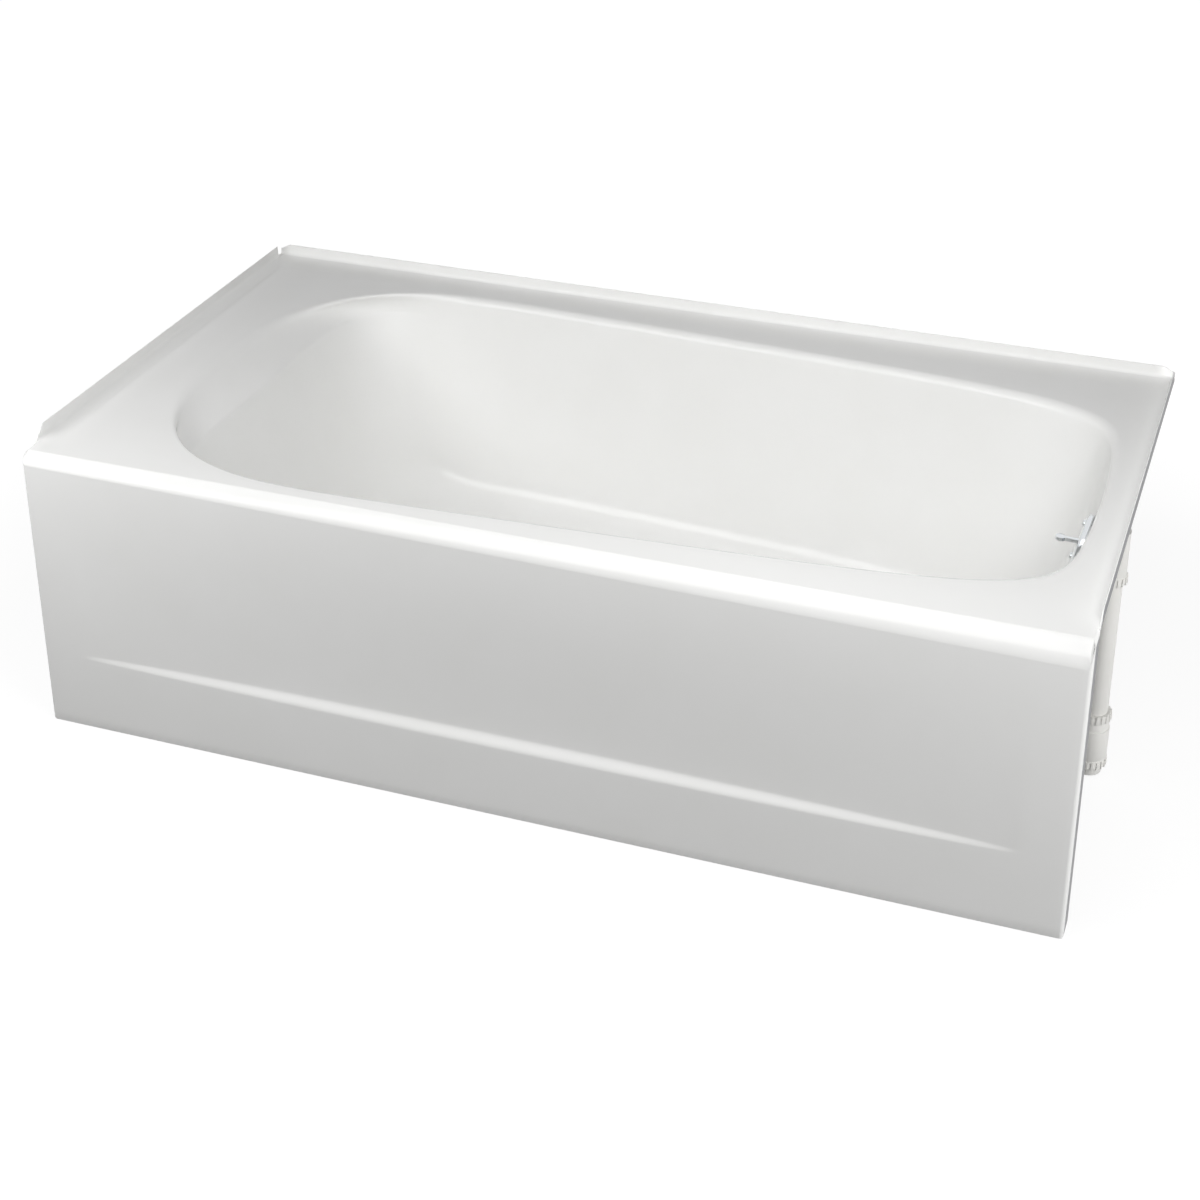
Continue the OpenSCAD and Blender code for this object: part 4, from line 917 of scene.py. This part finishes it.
# White tubular plastic: slightly warm, smooth and half gloss, with flow marks along the tubes
# 2 mm apart and a faint unevenness of tone
tube_plastic, tree, surface, place = new_material("white_tube_plastic", "#F1F0EC", 0.3, ior=1.54)
tint(tree, surface, noise(tree, place, 22, 4), "#ECEBE6", "#F5F4F1")
stretch = add(tree, "ShaderNodeMapping", {"Scale": (500, 500, 25)}, {"Vector": place})
marks = noise(tree, stretch.outputs[0], 1, 2)
dull(tree, surface, marks, 0.24, 0.38)
emboss(tree, surface, marks, 0.1, 0.0001)

for node, name, bevel in (
    ("waste_shoe", "waste_shoe_moulded", 0.8),
    ("waste_tee", "waste_tee_moulded", 0.8),
    ("tailpiece", "waste_tailpiece", 0.3),
    ("overflow_tube", "overflow_riser", 0.3),
    ("overflow_elbow", "overflow_elbow_moulded", 0.8),
):
    fix(softened(node, name, [tube_plastic], bevel), "bath", "tube_plastic", node)


# The four slip nuts: white plastic rings moulded with grip ribs, each drawing a rubber washer
# against the end of a socket.

tube_x, waste_z = x_drain - 27, 54
nut_r, nut_l, nut_bore, nut_socket = 25.05, 14, 19.35, 22.65
rib_h, rib_w, rib_count = 1.3, 2.6, 20

inputs = {"Count": "Int", "Finish": "Material"}
inputs.update({side: "Float" for side in ("Radius", "Height", "Width", "Length")})
tree, start, end = new_group("ribs_round_a_ring", inputs)
links = {"Vertices": start.outputs["Count"], "Radius": start.outputs["Radius"]}
ring = add(tree, "GeometryNodeMeshCircle", links=links)
links = {"X": start.outputs["Height"], "Y": start.outputs["Width"], "Z": start.outputs["Length"]}
block_size = add(tree, "ShaderNodeCombineXYZ", links=links)
block = add(tree, "GeometryNodeMeshCube", links={"Size": block_size.outputs[0]})
spot = add(tree, "GeometryNodeInputPosition")
aimed = add(tree, "FunctionNodeAlignRotationToVector", links={"Vector": spot.outputs[0]}, axis="X")
links = {"Points": ring.outputs[0], "Instance": block.outputs[0], "Rotation": aimed.outputs[0]}
ribs = add(tree, "GeometryNodeInstanceOnPoints", links=links)
middle = add(tree, "ShaderNodeMath", {1: 0.5}, {0: start.outputs["Length"]}, operation="MULTIPLY")
lift = add(tree, "ShaderNodeCombineXYZ", links={"Z": middle.outputs[0]})
links = {"Geometry": ribs.outputs[0], "Translation": lift.outputs[0]}
raised = add(tree, "GeometryNodeTransform", links=links)
whole = add(tree, "GeometryNodeJoinGeometry")
tree.links.new(start.outputs["Geometry"], whole.inputs[0])
tree.links.new(raised.outputs[0], whole.inputs[0])
close_group(tree, end, whole.outputs[0], start.outputs["Finish"])
ribs_round_a_ring = tree


def slip_nut(name, place, direction):
    body_r = nut_r - rib_h
    outline = [(nut_bore, 0), (body_r - 1, 0), (body_r, 1), (body_r, nut_l - 1.6)]
    outline += [(body_r - 0.9, nut_l), (nut_socket, nut_l), (nut_socket, 3), (nut_bore, 3)]
    core = turned_piece(name + "_core", outline, (0, 0, 0), [tube_plastic])
    values = {"Count": rib_count, "Width": rib_w / 1000, "Height": 1.7 * rib_h / 1000}
    values.update({"Radius": (nut_r - 0.85 * rib_h) / 1000, "Length": (nut_l - 2.2) / 1000})
    values["Finish"] = tube_plastic
    nut = grown(name, core.data, ribs_round_a_ring, values)
    bpy.data.objects.remove(core)
    nut.data.transform(placing(place, direction))
    return nut


tee_low, tee_top, tee_branch, elbow_low = 24, 100, 42, 329
nut_out = 7
nut_places = [
    ((tube_x, well_y, tee_low - nut_out), (0, 0, 1)),
    ((tube_x, well_y, tee_top + nut_out), (0, 0, -1)),
    ((tube_x - tee_branch - nut_out, well_y, waste_z), (1, 0, 0)),
    ((tube_x, well_y, elbow_low - nut_out), (0, 0, 1)),
]
nuts = joined("ribbed_slip_nuts", [slip_nut(f"nut_{i}", *p) for i, p in enumerate(nut_places)])
fix(nuts, "bath", "tube_plastic", "slip_nuts")
fix(softened("slip_washers", "slip_joint_washers", [rubber], 0.6), "bath", "rubber", "slip_washers")


# The overflow's gasket: a ring cut from closed-cell foam, pressed between the elbow and the wall.

# Closed-cell foam: dark, quite matt, with open cut cells 0.8 mm across that show as small pits
foam, tree, surface, place = new_material("closed_cell_foam", "#35363A", 0.9, ior=1.45)
cells = add(tree, "ShaderNodeTexVoronoi", {"Scale": 1200}, {"Vector": place})
tint(tree, surface, cells.outputs["Distance"], "#232427", "#44464B")
emboss(tree, surface, cells.outputs["Distance"], 0.6, 0.0002)
fix(softened("overflow_gasket", "overflow_foam_ring", [foam], 0.5), "bath", "foam", "overflow_gasket")


# The overflow's faceplate: a dished plate pressed from thin brass and chromed, with a slot for the
# lever and two ears behind it for the pin. Two chromed screws hold it to the elbow.

plate = softened("faceplate", "overflow_faceplate", [chrome], 0.3)
fix(plate, "bath", "chrome", "faceplate")
screw_gap, plate_h, plate_screw_d = 56, 9, 4.8
along_wall = (-sine(end_draft), 0, -cosine(end_draft))
plate_screw = screw_model("plate_screw", plate_screw_d, plate_h + 16)
heads = []
for side in (-1, 1):
    spot = np.array([overflow_x, well_y, overflow_z]) + np.array(along_wall) * side * screw_gap / 2
    heads.append((tuple(spot - np.array(out_of_wall) * plate_h), out_of_wall))
plate_screws = screws_at("faceplate_screw_pair", heads, plate_screw, chrome)
bpy.data.objects.remove(plate_screw)
fix(plate_screws, "bath", "chrome", "faceplate_screws")


# The trip lever: a chromed zinc casting on a steel pin, with a flat rounded handle in front of the
# plate and a slotted arm behind it. A bronze wave washer holds it where it is put.

# Drawn brass: yellow, half gloss, with draw lines 1 mm apart and a few darker, duller patches
# where the bare metal has begun to tarnish
brass, tree, surface, place = new_material("drawn_brass", "#C9A55A", 0.3, metallic=1)
patches = noise(tree, place, 26, 6)
tint(tree, surface, patches, "#A9843F", "#D2B068", 0.32, 0.62)
dull(tree, surface, patches, 0.22, 0.42)
stretch = add(tree, "ShaderNodeMapping", {"Scale": (1000, 1000, 60)}, {"Vector": place})
emboss(tree, surface, noise(tree, stretch.outputs[0], 1, 2), 0.15, 0.0001)

# Bright steel: stainless screws and pins, turned and barely polished, with rings 0.5 mm apart that
# are drawn five times coarser than the lathe leaves them
bright_steel, tree, surface, place = new_material("turned_stainless_steel", "#C9CACB", 0.26, metallic=1)
dull(tree, surface, noise(tree, place, 140, 3), 0.18, 0.36)
emboss(tree, surface, noise(tree, place, 1900, 2), 0.12, 0.00005)


fix(softened("trip_lever", "trip_lever_cast", [chrome], 0.9), "lever", "chrome", "trip_lever")
fix(softened("lever_pin", "lever_pivot_pin", [bright_steel], 0.4), "bath", "pin_steel", "lever_pin")
fix(softened("lever_washer", "lever_wave_washer", [brass], 0.2), "bath", "brass", "lever_washer")


# The linkage: a brass yoke, a rod with a lock nut, and a close-coiled striker spring with a domed
# tip. It hangs in the overflow tube and presses the rocker down.

for node, name, material, slot, bevel in (
    ("yoke", "linkage_yoke", brass, "brass", 0.5),
    ("yoke_pin", "linkage_yoke_pin", bright_steel, "pin_steel", 0.4),
    ("linkage_rod", "linkage_rod_turned", brass, "brass", 0.4),
    ("rod_locknut", "linkage_locknut", zinc_steel, "zinc_steel", 0.3),
    ("striker_tip", "striker_domed_tip", brass, "brass", 0.2),
):
    fix(softened(node, name, [material], bevel), "linkage", slot, node)

spring_r, wire_r, spring_l = 7, 1.1, 50
spring_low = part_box("striker_spring")[0][2] * 1000
inputs = {side: "Float" for side in ("Turns", "Radius", "Wire", "Length")}
tree, start, end = new_group("close_coil", {**inputs, "Finish": "Material"})
spiral = add(
    tree,
    "GeometryNodeCurveSpiral",
    {"Resolution": 24},
    {
        "Rotations": start.outputs["Turns"],
        "Start Radius": start.outputs["Radius"],
        "End Radius": start.outputs["Radius"],
        "Height": start.outputs["Length"],
    },
)
links = {"Radius": start.outputs["Wire"]}
round_wire = add(tree, "GeometryNodeCurvePrimitiveCircle", {"Resolution": 10}, links)
coil = add(
    tree,
    "GeometryNodeCurveToMesh",
    {"Fill Caps": True},
    {"Curve": spiral.outputs[0], "Profile Curve": round_wire.outputs[0]},
)
close_group(tree, end, coil.outputs[0], start.outputs["Finish"])
values = {"Turns": (spring_l - 2 * wire_r) / (2 * wire_r), "Radius": (spring_r - wire_r) / 1000}
values.update({"Wire": 0.98 * wire_r / 1000, "Length": (spring_l - 2 * wire_r) / 1000, "Finish": brass})
spring = grown("striker_coil", bpy.data.meshes.new("striker_coil"), tree, values, 60)
spring.data.transform(Matrix.Translation(Vector((tube_x, well_y, spring_low + wire_r)) / 1000))
fix(spring, "linkage", "brass", "striker_spring")


# The rocker: 5 mm brass wire on a cross-bar heel, flattened to a slotted eye under the stopper.

fix(softened("rocker_arm", "rocker_wire", [brass], 0.4), "rocker", "brass", "rocker_arm")


# The stopper: a chromed domed cap with a rubber seal, on a brass stem with a fork and a pin.

cap_r, cap_low, cap_bore = 22, 92, 3
cap_outline = [(cap_bore, -3), (10.4, -3), (11, -2.4), (11, 0), (21.4, 0), (cap_r, 0.6), (cap_r, 2.6)]
for a in (15, 30, 45, 60, 75):
    cap_outline.append((cap_r - 1.5 * (1 - cosine(a)), 2.6 + 0.6 * sine(a)))
cap_outline += [(18, 3.5), (14, 3.8), (9, 4.05), (4, 4.18), (0.001, 4.2), (0.001, 0.6), (cap_bore, 0.6)]
cap = turned_piece("stopper_domed_cap", cap_outline, (drain_x, well_y, cap_low), [chrome], sharp=50)
fix(cap, "stopper", "chrome", "stopper_cap")
for node, name, material, slot, bevel in (
    ("stopper_seal", "stopper_seal_ring", rubber, "rubber", 0.4),
    ("stopper_stem", "stopper_stem_fork", brass, "brass", 0.4),
    ("stem_nut", "stem_lock_nut", zinc_steel, "zinc_steel", 0.3),
    ("stem_pin", "stem_cross_pin", bright_steel, "pin_steel", 0.3),
):
    fix(softened(node, name, [material], bevel), "stopper", slot, node)


# The studio: a plain white floor and surround and six soft lights: a broad one in front, one high
# at each front corner, a small one above the well, and two low ones for the drain end and the
# back. The floor runs out into white.


def seen_rays(tree):
    """1 for rays from the camera, from mirrors and through glass, and 0 for rays of light."""
    ray = add(tree, "ShaderNodeLightPath")
    total = ray.outputs["Is Camera Ray"]
    for kind in ("Is Glossy Ray", "Is Transmission Ray"):
        links = {0: total, 1: ray.outputs[kind]}
        total = add(tree, "ShaderNodeMath", links=links, operation="MAXIMUM").outputs[0]
    return total


bpy.ops.mesh.primitive_plane_add(size=60, location=(0, 0, -0.0005))
floor = bpy.context.object
floor.name = "studio_floor"
floor_paint = bpy.data.materials.new("matt_white_floor")
floor_paint.use_nodes = True
tree = floor_paint.node_tree
tree.nodes.remove(tree.nodes["Principled BSDF"])
matt = add(tree, "ShaderNodeBsdfDiffuse", {"Color": linear("#707070")})
glow = add(tree, "ShaderNodeEmission", {"Color": linear("#FFFFFF")})
middle = add(tree, "ShaderNodeTexCoord")
away = add(tree, "ShaderNodeVectorMath", links={0: middle.outputs["Object"]}, operation="LENGTH")
near_shadow = add(
    tree,
    "ShaderNodeMapRange",
    {"From Min": 0.9, "From Max": 1.7, "To Min": 0.9, "To Max": 1.0},
    {"Value": away.outputs["Value"]},
    interpolation_type="SMOOTHSTEP",
)
level = add(
    tree,
    "ShaderNodeMath",
    links={0: seen_rays(tree), 1: near_shadow.outputs["Result"]},
    operation="MULTIPLY",
)
tree.links.new(level.outputs[0], glow.inputs["Strength"])
both = add(tree, "ShaderNodeAddShader", links={0: matt.outputs[0], 1: glow.outputs[0]})
tree.links.new(both.outputs[0], tree.nodes["Material Output"].inputs["Surface"])
floor.data.materials.append(floor_paint)

world = bpy.data.worlds.new("studio")
bpy.context.scene.world = world
world.use_nodes = True
tree = world.node_tree
fill = 0.08
shares = {1: 1 - fill, 2: fill}
level = add(tree, "ShaderNodeMath", shares, {0: seen_rays(tree)}, operation="MULTIPLY_ADD")
sky = tree.nodes["Background"]
sky.inputs["Color"].default_value = (1, 1, 1, 1)
tree.links.new(level.outputs[0], sky.inputs["Strength"])


def add_light(name, place, target, width, height, power):
    lamp = bpy.data.lights.new(name, "AREA")
    lamp.shape = "RECTANGLE"
    lamp.size, lamp.size_y, lamp.energy = width, height, power
    holder = new_object(name, lamp)
    holder.location = place
    holder.rotation_euler = (Vector(target) - Vector(place)).to_track_quat("-Z", "Y").to_euler()
    holder.visible_camera = False
    holder.visible_glossy = name == "front_light"


add_light("front_light", (-0.4, -2.15, 1.6), (0, 0, 0.3), 2.6, 1.0, 17)
add_light("right_light", (1.3, -1.55, 1.8), (-0.2, 0, 0.2), 0.8, 0.5, 15)
add_light("left_light", (-1.1, -0.85, 0.95), (-0.65, -0.4, 0.4), 0.6, 0.3, 4)
add_light("top_light", (0.35, -0.6, 1.6), (0.3, 0.1, 0.2), 1.0, 0.3, 7)
add_light("end_light", (2.2, -0.6, 0.27), (0.73, 0, 0.22), 0.5, 0.3, 14)
add_light("back_light", (0.1, 2.3, 0.25), (0, 0.4, 0.2), 2.0, 0.3, 11)

# Close to the photograph's angle, 20 degrees round from the front. Its edges stand more upright
# than here: they ask for a lens with a larger shift that looks down by 13 degrees, which would
# push the bath out of the picture from other sides, so this one looks down by 26.
camera_data = bpy.data.cameras.new("camera")
camera_data.lens, camera_data.sensor_width = 66.26, 36
camera_data.shift_y = -0.167
camera = new_object("camera", camera_data)
camera.location = (0.9714, -2.7745, 1.8851)
camera.rotation_euler = (math.radians(90 - 25.58), 0, math.radians(19.79))
bpy.context.scene.camera = camera
bpy.context.scene.view_settings.view_transform = "Standard"

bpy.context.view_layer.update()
